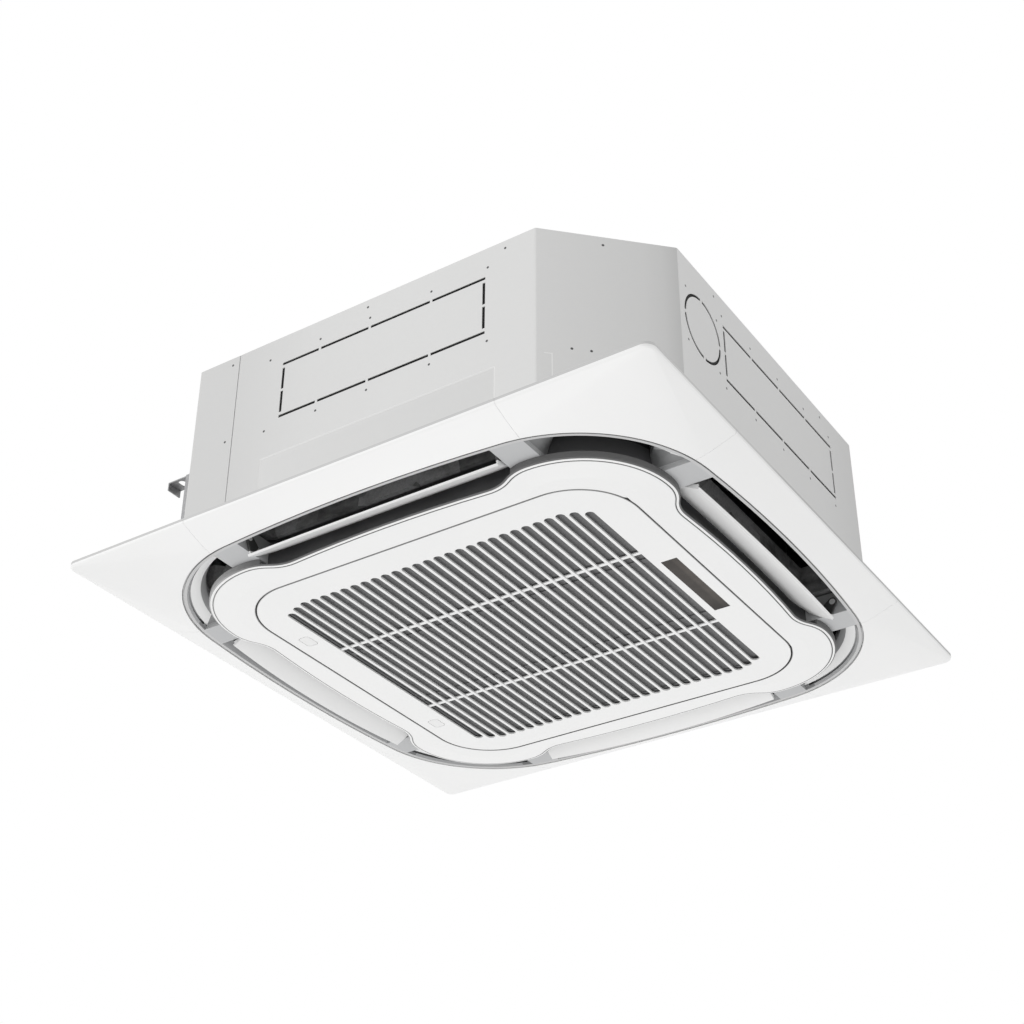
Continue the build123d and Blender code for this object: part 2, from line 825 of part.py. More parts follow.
with BuildPart() as louvre:
    add(vane.part)
    add(vane_arm.part)
    add(vane_arm.part.mirror(Plane.YZ))
hinge_line = Axis((0, pivot_out, -pivot_depth), (1, 0, 0))
open_louvre = louvre.part.rotate(hinge_line, -louvre_open)

with BuildPart() as louvre_motor:
    motor_x = pocket_x0 + gap
    add(rod((motor_x, pivot_out, -pivot_depth), (motor_x + 19, pivot_out, -pivot_depth), 14))
    low = -pivot_depth - 4
    add(block(motor_x, motor_x + 1.5, pivot_out - 32, pivot_out + 16, low, low + 8))
    add(block(motor_x + 4, motor_x + 17, pivot_out - 22, pivot_out, low - 3, low + 11))

side_names = ("back", "left", "front", "right")
for name, part in zip(side_names, quarters(open_louvre)):
    pieces["louvre_" + name] = part
for name, part in zip(side_names, quarters(louvre_motor.part)):
    pieces["louvre_motor_" + name] = part

# ---------------------------------------------------------------- foam seals between panel and body

with BuildPart() as panel_seals:
    add(prism(octagon(3), outlet_top, body_z))
    add(prism(pillow(3), outlet_top, body_z), mode=Mode.INTERSECT)
    add(prism(pillow(duct_inset), outlet_top, body_z), mode=Mode.SUBTRACT)
    with BuildSketch(Plane.XY.offset(outlet_top)):
        add(scallop(-ring_wall_inset - 1))
        add(scallop(-ring_wall_inset - 13), mode=Mode.SUBTRACT)
    extrude(amount=seal_height)
pieces["panel_seals"] = panel_seals.part

# ---------------------------------------------------------------- pipes, drain and cable, where they leave

gas_radius = 7.94
liquid_radius = 4.76
drain_radius = 16.0
cable_radius = 13.7
gas_y = coil_cut + 24
liquid_y = gas_y + 27
pipe_z = top_z - 145
drain_y = coil_cut + 47
drain_z = top_z - 90
cable_y = 120.0
cable_z = body_z + 77


def left_openings(depth, margin):
    """Cutters through the left wall for the pipes, the drain and the cable."""
    x0 = -half_body - 1
    x1 = -half_body + depth
    y0 = gas_y - 16 - margin
    y1 = liquid_y + 16 + margin
    pipes = block(x0, x1, y0, y1, pipe_z - 25 - margin, pipe_z + 25 + margin)
    drain = rod((x0, drain_y, drain_z), (x1, drain_y, drain_z), drain_radius + gap + margin)
    cable = rod((x0, cable_y, cable_z), (x1, cable_y, cable_z), cable_radius + gap + margin)
    return [pipes, drain, cable]


# ---------------------------------------------------------------- body casing, of four bent sheets and a top

slit = 4.5
knockout_low = 162.0
knockout_high = 254.0
round_radius = 49.0
round_y = -217.5
round_z = 206.6
press_left = -176.0
press_right = 218.0
press_low = 28.0
press_high = 100.0
press_step = 2.0            # width of the pressing's slanted edge
backing = 1.2
lap_seam = -233.0           # joint of two sheets on the front
lap_width = 1.3
joint = 3.0                 # other joints, past a fold


def rim_slits(c0, c1, breaks, low, high):
    """Knock-out slits round a rectangle, bridged at the breaks, at the corners and half way up."""
    corner = slit / 2 + 5
    bridge = 4.0
    cuts = []
    marks = [c0 - slit / 2] + [b + s * bridge for b in breaks for s in (-0.5, 0.5)] + [c1 + slit / 2]
    for z in (low, high):
        for a, b in zip(marks[0::2], marks[1::2]):
            cuts.append((a, b, z - slit / 2, z + slit / 2))
    mid = (low + high) / 2
    for c in (c0, c1):
        for a, b in ((low + corner, mid - bridge / 2), (mid + bridge / 2, high - corner)):
            cuts.append((c - slit / 2, c + slit / 2, a, b))
    return cuts


with BuildPart() as pressing:
    middle_x = (press_left + press_right) / 2
    middle_z = (press_low + press_high) / 2
    width = press_right - press_left
    height = press_high - press_low
    with BuildSketch(Plane.XZ.offset(half_body + press_depth)):
        with Locations((middle_x, middle_z)):
            Rectangle(width + 2 * press_step, height + 2 * press_step)
    with BuildSketch(Plane.XZ.offset(half_body - press_depth)):
        with Locations((middle_x, middle_z)):
            Rectangle(width - 2 * press_step, height - 2 * press_step)
    loft(ruled=True)

with BuildPart() as casing_walls:
    add(prism(octagon(0, fold), body_z, top_z))
    add(prism(octagon(sheet, fold - sheet), body_z, top_z), mode=Mode.SUBTRACT)

    # Shallow pressing low on the front, with its backing
    add(
        block(
            press_left - 4,
            press_right + 4,
            -half_body + press_depth,
            -half_body + press_depth + backing,
            press_low - 4,
            press_high + 4,
        )
    )
    add(pressing.part, mode=Mode.SUBTRACT)

    # Knock-outs for branch ducts, on the front and on the right
    for a, b, z0, z1 in rim_slits(-146, 199, (-81, 7, 112), knockout_low, knockout_high):
        add(block(a, b, -half_body - 1, -half_body + sheet + 1, z0, z1), mode=Mode.SUBTRACT)
    for a, b, z0, z1 in rim_slits(-152, 197, (-67, 21, 109), knockout_low, knockout_high):
        add(block(half_body - sheet - 1, half_body + 1, a, b, z0, z1), mode=Mode.SUBTRACT)
    with BuildSketch(Plane.YZ.offset(half_body - sheet - 1)):
        with Locations((round_y, round_z)):
            Circle(round_radius + slit / 2)
            Circle(round_radius - slit / 2, mode=Mode.SUBTRACT)
            Rectangle(2.4 * round_radius, 5, mode=Mode.SUBTRACT)
            Rectangle(5, 2.4 * round_radius, mode=Mode.SUBTRACT)
    extrude(amount=sheet + 2, mode=Mode.SUBTRACT)
    add(left_openings(3, 0), mode=Mode.SUBTRACT)


def casing_wall(x0, x1, y0, y1, angle, chamfer):
    """One bent sheet of the casing, with the bracket on its chamfer that the panel screws into."""
    out = (body_width - chamfer) / sqrt(2)
    with BuildPart() as body:
        add(casing_walls.part)
        add(block(x0, x1, y0, y1, body_z, top_z), mode=Mode.INTERSECT)
        add(block(out - 2, screw_out + 10, -20, 20, 1.5, 3.5).rotate(Axis.Z, angle))
        add(block(out, out + 2, -20, 20, 1.5, 46).rotate(Axis.Z, angle))
        with PolarLocations(screw_out, 4, start_angle=45):
            with Locations((0, 0, 2.5)):
                Cylinder(2.1, 4, mode=Mode.SUBTRACT)
    return body.part


past = half_body + 1
plain_joint = half_body - plain_chamfer - joint
pipe_joint = half_body - pipe_chamfer - joint
seam_x0 = lap_seam - lap_width / 2
seam_x1 = lap_seam + lap_width / 2
pieces["casing_front"] = casing_wall(seam_x1, past, -past, -plain_joint, 315, plain_chamfer)
pieces["casing_right"] = casing_wall(plain_joint, past, -plain_joint, past, 45, plain_chamfer)
pieces["casing_back"] = casing_wall(-past, plain_joint, pipe_joint, past, 135, pipe_chamfer)
pieces["casing_left"] = casing_wall(-past, seam_x0, -past, pipe_joint, 225, pipe_chamfer)

with BuildPart() as casing_top:
    add(prism(octagon(sheet, fold - sheet), top_z - sheet, top_z))
    for angle in (45, 135):
        bead = block(-250, 250, -12, 12, top_z, top_z + 3).rotate(Axis.Z, angle)
        add(bead)
    with BuildSketch(Plane.XY.offset(top_z)):
        Circle(150)
        Circle(126, mode=Mode.SUBTRACT)
    extrude(amount=3)
pieces["casing_top"] = casing_top.part

# ---------------------------------------------------------------- liner, drain pan and bell mouth

lining = press_depth + backing + 0.2
liner_in = lining + liner_wall
liner_joint = 15.0          # the liner's joints, past a corner
with BuildPart() as liner_shell:
    add(prism(octagon(lining), body_z, top_z - sheet))
    add(prism(octagon(liner_in), body_z, top_z - sheet), mode=Mode.SUBTRACT)
    add(left_openings(24, 4), mode=Mode.SUBTRACT)


def liner_wall_piece(x0, x1, y0, y1):
    """One foam wall of the liner, with the corner beside it."""
    with BuildPart() as body:
        add(liner_shell.part)
        add(block(x0, x1, y0, y1, body_z, top_z), mode=Mode.INTERSECT)
    return body.part


plain_joint = half_body - plain_chamfer - liner_joint
pipe_joint = half_body - pipe_chamfer - liner_joint
pieces["liner_front"] = liner_wall_piece(-pipe_joint, past, -past, -plain_joint)
pieces["liner_right"] = liner_wall_piece(plain_joint, past, -plain_joint, past)
pieces["liner_back"] = liner_wall_piece(-past, plain_joint, pipe_joint, past)
pieces["liner_left"] = liner_wall_piece(-past, -pipe_joint, -past, pipe_joint)

pan_slot_half = louvre_half - 7.5
pan_slot_in = ring_half
trough_in = coil_half - coil_depth - 12
trough_out = coil_half + 12
trough_z = pan_top - trough_depth
pan_bore = trough_in - 5
well_wall = 6.0             # pump well to the corner passage
plug_at = coil_half - 22
with BuildSketch() as corner_passage:
    out_x = seam_at + corner_spread
    out_y = pillow_at(out_x, corner_inset)
    add(corner_slot(corner_inset, corner_spread))
    Polygon((out_x, out_y), (out_x, past), (past, past), (past, out_x), (out_y, out_x), align=None)

with BuildSketch() as pump_well:
    with Locations((-ring_corner_centre, ring_corner_centre)):
        Circle(ring_corner - ring_wall_inset - 6 - well_wall)
    with Locations((-coil_cut - 30, coil_cut + 30)):
        Rectangle(trough_out, trough_out, align=(Align.MAX, Align.MIN), mode=Mode.INTERSECT)

with BuildPart() as drain_pan:
    add(prism(octagon(liner_in + gap), body_z, pan_top))
    with BuildSketch(Plane.XY.offset(body_z)):
        Circle(pan_bore)
        with PolarLocations(0, 4):
            with Locations((pan_slot_in, 0)):
                Rectangle(2 * past, 2 * pan_slot_half, align=(Align.MIN, Align.CENTER))
    extrude(amount=pan_height, mode=Mode.SUBTRACT)
    add(quarters(prism(corner_passage.sketch, body_z, pan_top)), mode=Mode.SUBTRACT)
    with BuildSketch(Plane.XY.offset(trough_z)):
        add(square(2 * trough_out, coil_corner + 12))
        add(square(2 * trough_in, coil_corner - coil_depth - 12), mode=Mode.SUBTRACT)
    extrude(amount=trough_depth, mode=Mode.SUBTRACT)
    add(prism(pump_well.sketch, trough_z, pan_top), mode=Mode.SUBTRACT)
    with BuildSketch(Plane.XY.offset(body_z)):
        with Locations((-plug_at, plug_at)):
            Circle(13)
    extrude(amount=pan_height, mode=Mode.SUBTRACT)
pieces["drain_pan"] = drain_pan.part

with BuildPart() as drain_plug:
    with Locations((-plug_at, plug_at, body_z + 8)):
        Cylinder(13, 16)
    with Locations((-plug_at, plug_at, body_z + 16 + 10)):
        Cylinder(11, 20)
pieces["drain_plug"] = drain_plug.part

bell_wall = 3.0
bell_out = pan_bore - 3
bell_lip = bell_out - 19
with BuildPart() as bell_mouth:
    with BuildSketch(Plane.XZ):
        Polygon(
            (bell_out, body_z),
            (bell_lip, body_z),
            (throat_radius + 29, body_z + 7),
            (throat_radius + 13, body_z + 21),
            (throat_radius, body_z + 50),
            (throat_radius, fan_low + 9),
            (throat_radius + bell_wall, fan_low + 9),
            (throat_radius + bell_wall, body_z + 50.6),
            (throat_radius + 13 + 2.5, body_z + 22.7),
            (throat_radius + 29 + 1.5, body_z + 9.6),
            (bell_lip, body_z + bell_wall),
            (bell_out, body_z + bell_wall),
            align=None,
        )
    revolve(axis=Axis.Z)
pieces["bell_mouth"] = bell_mouth.part

# ---------------------------------------------------------------- coil, with its end plates and return bends

coil_low = trough_z + gap
coil_high = top_z - 15
tube_radius = 4.0
tube_rise = 30.0            # coil's foot to the first return bend
tube_drop = 41.7            # last return bend to the coil's top
tube_pitch = (coil_high - coil_low - tube_rise - tube_drop) / 3
plate_wall = 1.5
with BuildPart() as end_plate:
    y0 = coil_half - coil_depth - 3
    add(block(-coil_cut - plate_wall, -coil_cut, y0, coil_half + 3, coil_low, coil_high + 4))

with BuildPart() as coil:
    add(prism(square(2 * coil_half, coil_corner), coil_low, coil_high))
    add(
        prism(square(2 * (coil_half - coil_depth), coil_corner - coil_depth), coil_low, coil_high),
        mode=Mode.SUBTRACT,
    )
    add(block(-coil_half, -coil_cut, coil_cut, coil_half, coil_low, coil_high), mode=Mode.SUBTRACT)
    add(end_plate.part)
    add(end_plate.part.mirror(Plane(origin=(0, 0, 0), z_dir=(1, 1, 0))))
    for i in range(4):
        z = coil_low + tube_rise + tube_pitch * i
        x = -coil_cut - plate_wall
        y = coil_half - coil_depth / 2
        with BuildSketch(Plane(origin=(x, y, z), x_dir=(0, 1, 0), z_dir=(-1, 0, 0))):
            Circle(tube_radius)
        revolve(axis=Axis((x, y, z + 14), (0, 1, 0)), revolution_arc=180)
pieces["coil"] = coil.part

with BuildPart() as gas_header:
    header_x = -coil_half + coil_depth / 2
    add(rod((header_x, gas_y, coil_low + 20), (header_x, gas_y, coil_high - 20), 8))
    for i in range(4):
        z = coil_low + tube_rise + tube_pitch * i
        add(rod((header_x, coil_cut + plate_wall, z), (header_x, gas_y, z), tube_radius))
pieces["gas_header"] = gas_header.part

# ---------------------------------------------------------------- fan, its motor and mount

shroud_out_z = fan_low + 38
back_z = fan_top - fan_wall


def blade(turn):
    """A backward curved blade between two circles, before it is trimmed to the shroud."""
    bend = 150.0
    lead = (125.0, 0.0)
    trail = (fan_radius * cos(radians(-48)), fan_radius * sin(radians(-48)))
    half = hypot(trail[0] - lead[0], trail[1] - lead[1]) / 2
    mid = ((lead[0] + trail[0]) / 2, (lead[1] + trail[1]) / 2)
    away = sqrt(bend**2 - half**2)
    nx = -(trail[1] - lead[1]) / (2 * half)
    ny = (trail[0] - lead[0]) / (2 * half)
    centre = (mid[0] - nx * away, mid[1] - ny * away)
    inner = bend - blade_thickness / 2
    outer = bend + blade_thickness / 2
    with BuildPart() as body:
        with BuildSketch(Plane.XY.offset(fan_low)):
            with BuildLine():
                ThreePointArc(
                    toward(centre, outer, lead),
                    toward(centre, outer, mid),
                    toward(centre, outer, trail),
                )
                Line(toward(centre, outer, trail), toward(centre, inner, trail))
                ThreePointArc(
                    toward(centre, inner, trail),
                    toward(centre, inner, mid),
                    toward(centre, inner, lead),
                )
                Line(toward(centre, inner, lead), toward(centre, outer, lead))
            make_face()
        extrude(amount=back_z + 1 - fan_low)
    return body.part.rotate(Axis.Z, turn)


with BuildPart() as blade_room:
    with BuildSketch(Plane.XZ):
        with BuildLine():
            Line((100, fan_low + 12), (neck_radius + 4, fan_low + 12))
            Line((neck_radius + 4, fan_low + 12), (neck_radius + 10, fan_low + 26))
            Line((neck_radius + 10, fan_low + 26), (fan_radius, shroud_out_z - 1))
            Line((fan_radius, shroud_out_z - 1), (fan_radius, back_z + 1))
            Line((fan_radius, back_z + 1), (cone_radius + 1, back_z + 1))
            Line((cone_radius + 1, back_z + 1), (100, back_z - 34))
            Line((100, back_z - 34), (100, fan_low + 12))
        make_face()
    revolve(axis=Axis.Z)

with BuildPart() as impeller:
    for k in range(blade_count):
        add(blade(k * 360 / blade_count))
    add(blade_room.part, mode=Mode.INTERSECT)
    with BuildSketch(Plane.XZ):
        with BuildLine():
            Line((neck_radius, fan_low), (neck_radius, fan_low + 4))
            Line((neck_radius, fan_low + 4), (neck_radius + 9, fan_low + 27))
            Line((neck_radius + 9, fan_low + 27), (fan_radius, shroud_out_z))
            Line((fan_radius, shroud_out_z), (fan_radius, shroud_out_z - fan_wall))
            Line((fan_radius, shroud_out_z - fan_wall), (neck_radius + 11, fan_low + 25))
            Line((neck_radius + 11, fan_low + 25), (neck_radius + fan_wall, fan_low + 4))
            Line((neck_radius + fan_wall, fan_low + 4), (neck_radius + fan_wall, fan_low))
            Line((neck_radius + fan_wall, fan_low), (neck_radius, fan_low))
        make_face()
    revolve(axis=Axis.Z)
    with BuildSketch(Plane.XZ):
        with BuildLine():
            Line((shaft_radius, hub_z), (hub_radius, hub_z))
            Line((hub_radius, hub_z), (cone_radius, back_z))
            Line((cone_radius, back_z), (fan_radius, back_z))
            Line((fan_radius, back_z), (fan_radius, fan_top))
            Line((fan_radius, fan_top), (cone_radius - 2, fan_top))
            Line((cone_radius - 2, fan_top), (hub_radius - 2, hub_z + fan_wall))
            Line((hub_radius - 2, hub_z + fan_wall), (shaft_radius, hub_z + fan_wall))
            Line((shaft_radius, hub_z + fan_wall), (shaft_radius, hub_z))
        make_face()
    revolve(axis=Axis.Z)
    with BuildSketch(Plane.XY.offset(hub_z - 14)):
        Circle(18)
        Circle(shaft_radius, mode=Mode.SUBTRACT)
    extrude(amount=15)
pieces["impeller"] = impeller.part

motor_low = hub_z + 12
motor_high = top_z - 25
with BuildPart() as fan_shaft:
    add(rod((0, 0, hub_z - 26), (0, 0, motor_low + 18), shaft_radius))
    with BuildSketch(Plane.XY.offset(hub_z - 22)):
        RegularPolygon(10.5, 6)
    extrude(amount=8)
pieces["fan_shaft"] = fan_shaft.part

with BuildPart() as fan_motor:
    with BuildSketch(Plane.XZ):
        with BuildLine():
            Line((shaft_radius + running, motor_low), (48, motor_low))
            Line((48, motor_low), (motor_radius, motor_low + 14))
            Line((motor_radius, motor_low + 14), (motor_radius, motor_high))
            Line((motor_radius, motor_high), (0, motor_high))
            Line((0, motor_high), (0, motor_low + 19))
            Line((0, motor_low + 19), (shaft_radius + running, motor_low + 19))
            Line((shaft_radius + running, motor_low + 19), (shaft_radius + running, motor_low))
        make_face()
    revolve(axis=Axis.Z)
pieces["fan_motor"] = fan_motor.part

with BuildPart() as motor_mount:
    with BuildSketch(Plane.XY.offset(motor_high)):
        Circle(100)
    extrude(amount=3)
    with BuildSketch(Plane.XY.offset(motor_high + 3)):
        with PolarLocations(84, 4, start_angle=45):
            Circle(10)
    extrude(amount=top_z - sheet - motor_high - 3)
pieces["motor_mount"] = motor_mount.part

# ---------------------------------------------------------------- electrical box, in the intake

box_side = 90.0             # intake's wall to the ends of the box
box_back = 10.0             # intake's wall to the back of the box
box_depth = 84.0
box_x = intake_half - box_side
box_y1 = intake_half - box_back
box_y0 = box_y1 - box_depth
box_low = -20.0
box_wall = 1.5
with BuildPart() as electrical_box:
    add(block(-box_x, box_x, box_y0, box_y1, box_low, body_z))
    add(
        block(
            box_wall - box_x,
            box_x - box_wall,
            box_y0 + box_wall,
            box_y1 - box_wall,
            box_low,
            body_z - box_wall,
        ),
        mode=Mode.SUBTRACT,
    )
pieces["electrical_box"] = electrical_box.part
with BuildPart() as electrical_cover:
    add(block(-box_x, box_x, box_y0, box_y1, box_low - box_wall, box_low))
    add(block(-box_x, box_x, box_y0 - box_wall, box_y0, box_low - box_wall, box_low + 14))
pieces["electrical_cover"] = electrical_cover.part
with BuildPart() as control_board:
    board_z = body_z - box_wall - 8
    board_x = 20 - box_x
    add(block(board_x, board_x + 250, box_y0 + 8, box_y1 - 8, board_z, board_z + 1.6))
    for x in (board_x + 10, board_x + 240):
        for y in (box_y0 + 15, box_y1 - 15):
            add(block(x - 3, x + 3, y - 3, y + 3, board_z + 1.6, body_z - box_wall))
    y = (box_y0 + box_y1) / 2
    add(block(board_x + 20, board_x + 50, y - 24, y + 6, board_z - 16, board_z))
    add(block(board_x + 80, board_x + 130, y - 18, y - 12, board_z - 8, board_z))
    add(block(board_x + 80, board_x + 130, y + 10, y + 16, board_z - 8, board_z))
    add(block(board_x + 160, board_x + 210, y - 22, y + 14, board_z - 14, board_z))
pieces["control_board"] = control_board.part
with BuildPart() as terminal_block:
    x0 = box_x - 100
    y0 = box_y0 + 24
    add(block(x0, x0 + 80, y0, y0 + 32, body_z - box_wall - 20, body_z - box_wall))
    for i in range(5):
        x = x0 + 2 + 16 * i
        cut = block(x, x + 12, y0 - 1, y0 + 16, body_z - box_wall - 21, body_z - box_wall - 9)
        add(cut, mode=Mode.SUBTRACT)
pieces["terminal_block"] = terminal_block.part

# ---------------------------------------------------------------- drain pump, float switch and drain

pump_x = header_x + 44
pump_y = drain_y
with BuildPart() as drain_pump:
    with Locations((pump_x, pump_y, trough_z + 30)):
        Cylinder(9, 40)
    stem_low = trough_z + 35
    stem_high = drain_z + 40
    with Locations((pump_x, pump_y, (stem_low + stem_high) / 2)):
        Cylinder(9, stem_high - stem_low)
    with Locations((pump_x, pump_y, drain_z)):
        Cylinder(28, 34)
    with Locations((pump_x, pump_y, drain_z + 36)):
        Cylinder(22, 38)
    add(rod((pump_x, pump_y, drain_z), (pump_x - 44, pump_y, drain_z), 10))
pieces["drain_pump"] = drain_pump.part
with BuildPart() as pump_bracket:
    add(block(pump_x - 34, pump_x + 34, pump_y - 30, pump_y + 30, drain_z + 55, drain_z + 57))
    add(block(pump_x - 34, pump_x - 24, pump_y - 30, pump_y - 28, drain_z + 57, top_z - sheet))
    add(block(pump_x - 34, pump_x - 24, pump_y + 28, pump_y + 30, drain_z + 57, top_z - sheet))
    add(block(pump_x + 24, pump_x + 34, pump_y - 30, pump_y - 28, drain_z + 57, top_z - sheet))
    add(block(pump_x + 24, pump_x + 34, pump_y + 28, pump_y + 30, drain_z + 57, top_z - sheet))
pieces["pump_bracket"] = pump_bracket.part
hose_end = (-half_body + 2, pump_y, drain_z)
pieces["drain_hose"] = tube((pump_x - 30, pump_y, drain_z), hose_end, 13, 2.8)
with BuildPart() as drain_outlet:
    add(rod(hose_end, (-half_body - 46, pump_y, drain_z), drain_radius))
    add(rod((-half_body, pump_y, drain_z), (-half_body - 4, pump_y, drain_z), 22))
    add(
        rod((-half_body + 3, pump_y, drain_z), (-half_body - 47, pump_y, drain_z), 13),
        mode=Mode.SUBTRACT,
    )
pieces["drain_outlet"] = drain_outlet.part

float_x = 4 - coil_half
float_y = coil_half - 42
stem_radius = 3.0
float_travel = 10.0
float_low = trough_z + 3
with BuildPart() as float_switch:
    add(rod((float_x, float_y, trough_z + 0.5), (float_x, float_y, trough_z + 34), stem_radius))
    add(rod((float_x, float_y, trough_z + 0.5), (float_x, float_y, trough_z + 2.5), 6))
    add(rod((float_x, float_y, trough_z + 34), (float_x, float_y, trough_z + 46), 9))
    x0 = -half_body + liner_in
    z0 = trough_z + 46
    add(block(x0, float_x, float_y - 7, float_y + 7, z0, z0 + 2))
    add(block(x0, x0 + 3.4, float_y - 7, float_y + 7, z0, z0 + 34))
pieces["float_switch"] = float_switch.part
float_wall = 11 - stem_radius - 0.2
pieces["float"] = tube((float_x, float_y, float_low), (float_x, float_y, float_low + 15), 11, float_wall)

# ---------------------------------------------------------------- pipes and hanger brackets, on the left

pipe_end = -half_body - 56


def nut(x, y, z, radius, bore, length):
    """A hexagon union nut along the X axis."""
    with BuildPart() as body:
        with BuildSketch(Plane(origin=(x, y, z), x_dir=(0, 1, 0), z_dir=(-1, 0, 0))):
            RegularPolygon(radius, 6)
            Circle(bore, mode=Mode.SUBTRACT)
        extrude(amount=length)
    return body.part


gas_start = (header_x - 8, gas_y, pipe_z)
with BuildPart() as gas_pipe:
    add(rod(gas_start, (pipe_end, gas_y, pipe_z), gas_radius))
    add(nut(-half_body - 22, gas_y, pipe_z, 14.5, gas_radius - 1, 22))
    add(rod(gas_start, (pipe_end - 1, gas_y, pipe_z), gas_radius - 1), mode=Mode.SUBTRACT)
pieces["gas_pipe"] = gas_pipe.part
liquid_x = header_x + 12
with BuildPart() as liquid_pipe:
    add(rod((liquid_x, liquid_y, coil_low + 20), (liquid_x, liquid_y, pipe_z + 25), 5))
    for i in range(2):
        z = coil_low + 44 + tube_pitch * i
        add(rod((liquid_x, coil_cut + plate_wall, z), (liquid_x, liquid_y, z), 3))
    add(rod((liquid_x, liquid_y, pipe_z), (pipe_end, liquid_y, pipe_z), liquid_radius))
    add(nut(-half_body - 24, liquid_y, pipe_z, 11, liquid_radius - 0.8, 18))
    add(
        rod((liquid_x - 5, liquid_y, pipe_z), (pipe_end - 1, liquid_y, pipe_z), liquid_radius - 0.8),
        mode=Mode.SUBTRACT,
    )
pieces["liquid_pipe"] = liquid_pipe.part
with BuildPart() as pipe_plate:
    x0 = -half_body - 1.5
    add(block(x0, -half_body, gas_y - 21, liquid_y + 19, pipe_z - 30, pipe_z + 30))
    for y, radius in ((gas_y, gas_radius + 0.2), (liquid_y, liquid_radius + 0.2)):
        bore = rod((x0 - 1, y, pipe_z), (-half_body + 1, y, pipe_z), radius)
        add(bore, mode=Mode.SUBTRACT)
pieces["pipe_plate"] = pipe_plate.part

with BuildPart() as cable_gland:
    add(rod((-half_body + 6, cable_y, cable_z), (-half_body - 3, cable_y, cable_z), cable_radius))
    add(rod((-half_body, cable_y, cable_z), (-half_body - 3, cable_y, cable_z), 18))
    add(
        rod((-half_body + 7, cable_y, cable_z), (-half_body - 4, cable_y, cable_z), 9),
        mode=Mode.SUBTRACT,
    )
pieces["cable_gland"] = cable_gland.part

hanger_y = half_body - pipe_chamfer - 18
hanger_out = 50.0
hanger_z = 228.0
hanger_arm = 26.0
hanger_depth = 12.0
slot_overall = 18.0
hanger_slot = 12.0
slot_centre = -half_body - 30


def hanger(y):
    """A hanging bracket: a plate on the wall and an arm with a slot for a threaded rod."""
    with BuildPart() as body:
        wall_x = -half_body
        y0 = y - hanger_arm / 2
        y1 = y + hanger_arm / 2
        end_x = wall_x - hanger_out
        low = hanger_z - 80
        add(block(wall_x - hanger_depth, wall_x - hanger_depth + 2, y - 15, y + 15, low, hanger_z + 2))
        add(block(wall_x - hanger_depth, wall_x, y - 15, y - 13, low, hanger_z + 2))
        add(block(wall_x - hanger_depth, wall_x, y + 13, y + 15, low, hanger_z + 2))
        add(block(end_x, wall_x, y0, y1, hanger_z, hanger_z + 2))
        add(block(end_x, end_x + 2, y0, y1, hanger_z - 12, hanger_z + 2))
        clip_x = wall_x - hanger_depth
        add(block(clip_x - 4, clip_x + 2, y - 7, y + 7, hanger_z - 52, hanger_z - 36))
        with BuildSketch(Plane.XY.offset(hanger_z)):
            with Locations((slot_centre, y)):
                SlotOverall(slot_overall, hanger_slot, rotation=90)
        extrude(amount=2, mode=Mode.SUBTRACT)
    return body.part


pieces["hanger_front"] = hanger(-hanger_y)
pieces["hanger_back"] = hanger(hanger_y)

for name, part in pieces.items():
    part.label = name
    export_step(part, "parts/" + name + ".step")
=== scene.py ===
import json
from math import pi, sqrt

import bpy
import numpy as np
from mathutils import Matrix, Vector

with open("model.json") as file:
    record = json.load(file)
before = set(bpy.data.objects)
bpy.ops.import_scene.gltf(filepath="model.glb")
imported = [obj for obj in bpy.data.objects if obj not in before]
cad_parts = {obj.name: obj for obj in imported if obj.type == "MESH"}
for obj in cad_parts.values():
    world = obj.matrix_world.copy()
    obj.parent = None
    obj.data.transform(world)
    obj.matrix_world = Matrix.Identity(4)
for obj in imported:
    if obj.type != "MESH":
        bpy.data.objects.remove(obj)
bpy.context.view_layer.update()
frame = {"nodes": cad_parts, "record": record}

# Looks of a ceiling cassette air conditioner: a sheet metal body with a white moulded panel below.
# Metres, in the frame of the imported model: +Z up, origin in the middle of the panel, in the ceiling
# plane.  The sides are front (-Y), right (+X), back (+Y) and left (-X).

MM = 0.001
nodes = frame["nodes"]

# ------------------------------------------------------------------ sizes the finishes follow

# Body
half_body = 420 * MM
plain_chamfer = 139 * MM        # the corner face takes this much off each side
chamfer_line = 2 * half_body - plain_chamfer
front_seam = -233 * MM          # lap seam of the front sheet
step_low = 22 * MM              # the front's pressed step, from here
step_high = 106 * MM            # to here
step_half = 227.5 * MM
step_out = 405 * MM

# Painted light and shade of the sheet along each outer face, as (place in metres, share of its
# colour)
front_painted_shading = ((-0.42, 0.9), (-0.233, 0.92), (-0.1, 1.02), (0.05, 1.06), (0.281, 1.075))
corner_painted_shading = ((-0.098, 1.08), (-0.02, 1.03), (0.048, 0.98), (0.075, 0.92), (0.098, 0.8))
right_painted_shading = ((-0.281, 1.02), (-0.24, 1.0), (0.0, 0.97), (0.15, 0.93), (0.281, 0.83))

# Pilot holes, as places across and up each face in millimetres
hole_radius = 1.9
front_holes = [(x, z) for z in (271, 146) for x in (-173, -81, 7, 112, 205)]
front_holes += [(-246, 292), (2, 292), (233, 292), (-246, 155)]
right_holes = [(y, z) for z in (271, 146) for y in (-156, -68, 19, 107, 195)]
right_holes += [(-262, 252), (-173, 252), (-262, 161), (-173, 161), (-177, 292), (168, 292)]
corner_holes = [(93 - 98.3, 291), (47.5 - 98.3, 109), (73.5 - 98.3, 109)]

# A small folded tab on the corner face
tab_side = -77 * MM
tab_top = 97 * MM
tab_middle = 78 * MM            # half way up its side
tab_half = 19.4 * MM
tab_width = 10 * MM

# Panel frame
wall_from = -7.5 * MM           # painted shade on its upright walls from here up
dimmer_from = 325 * MM          # and deeper painted shade where x + y is past this
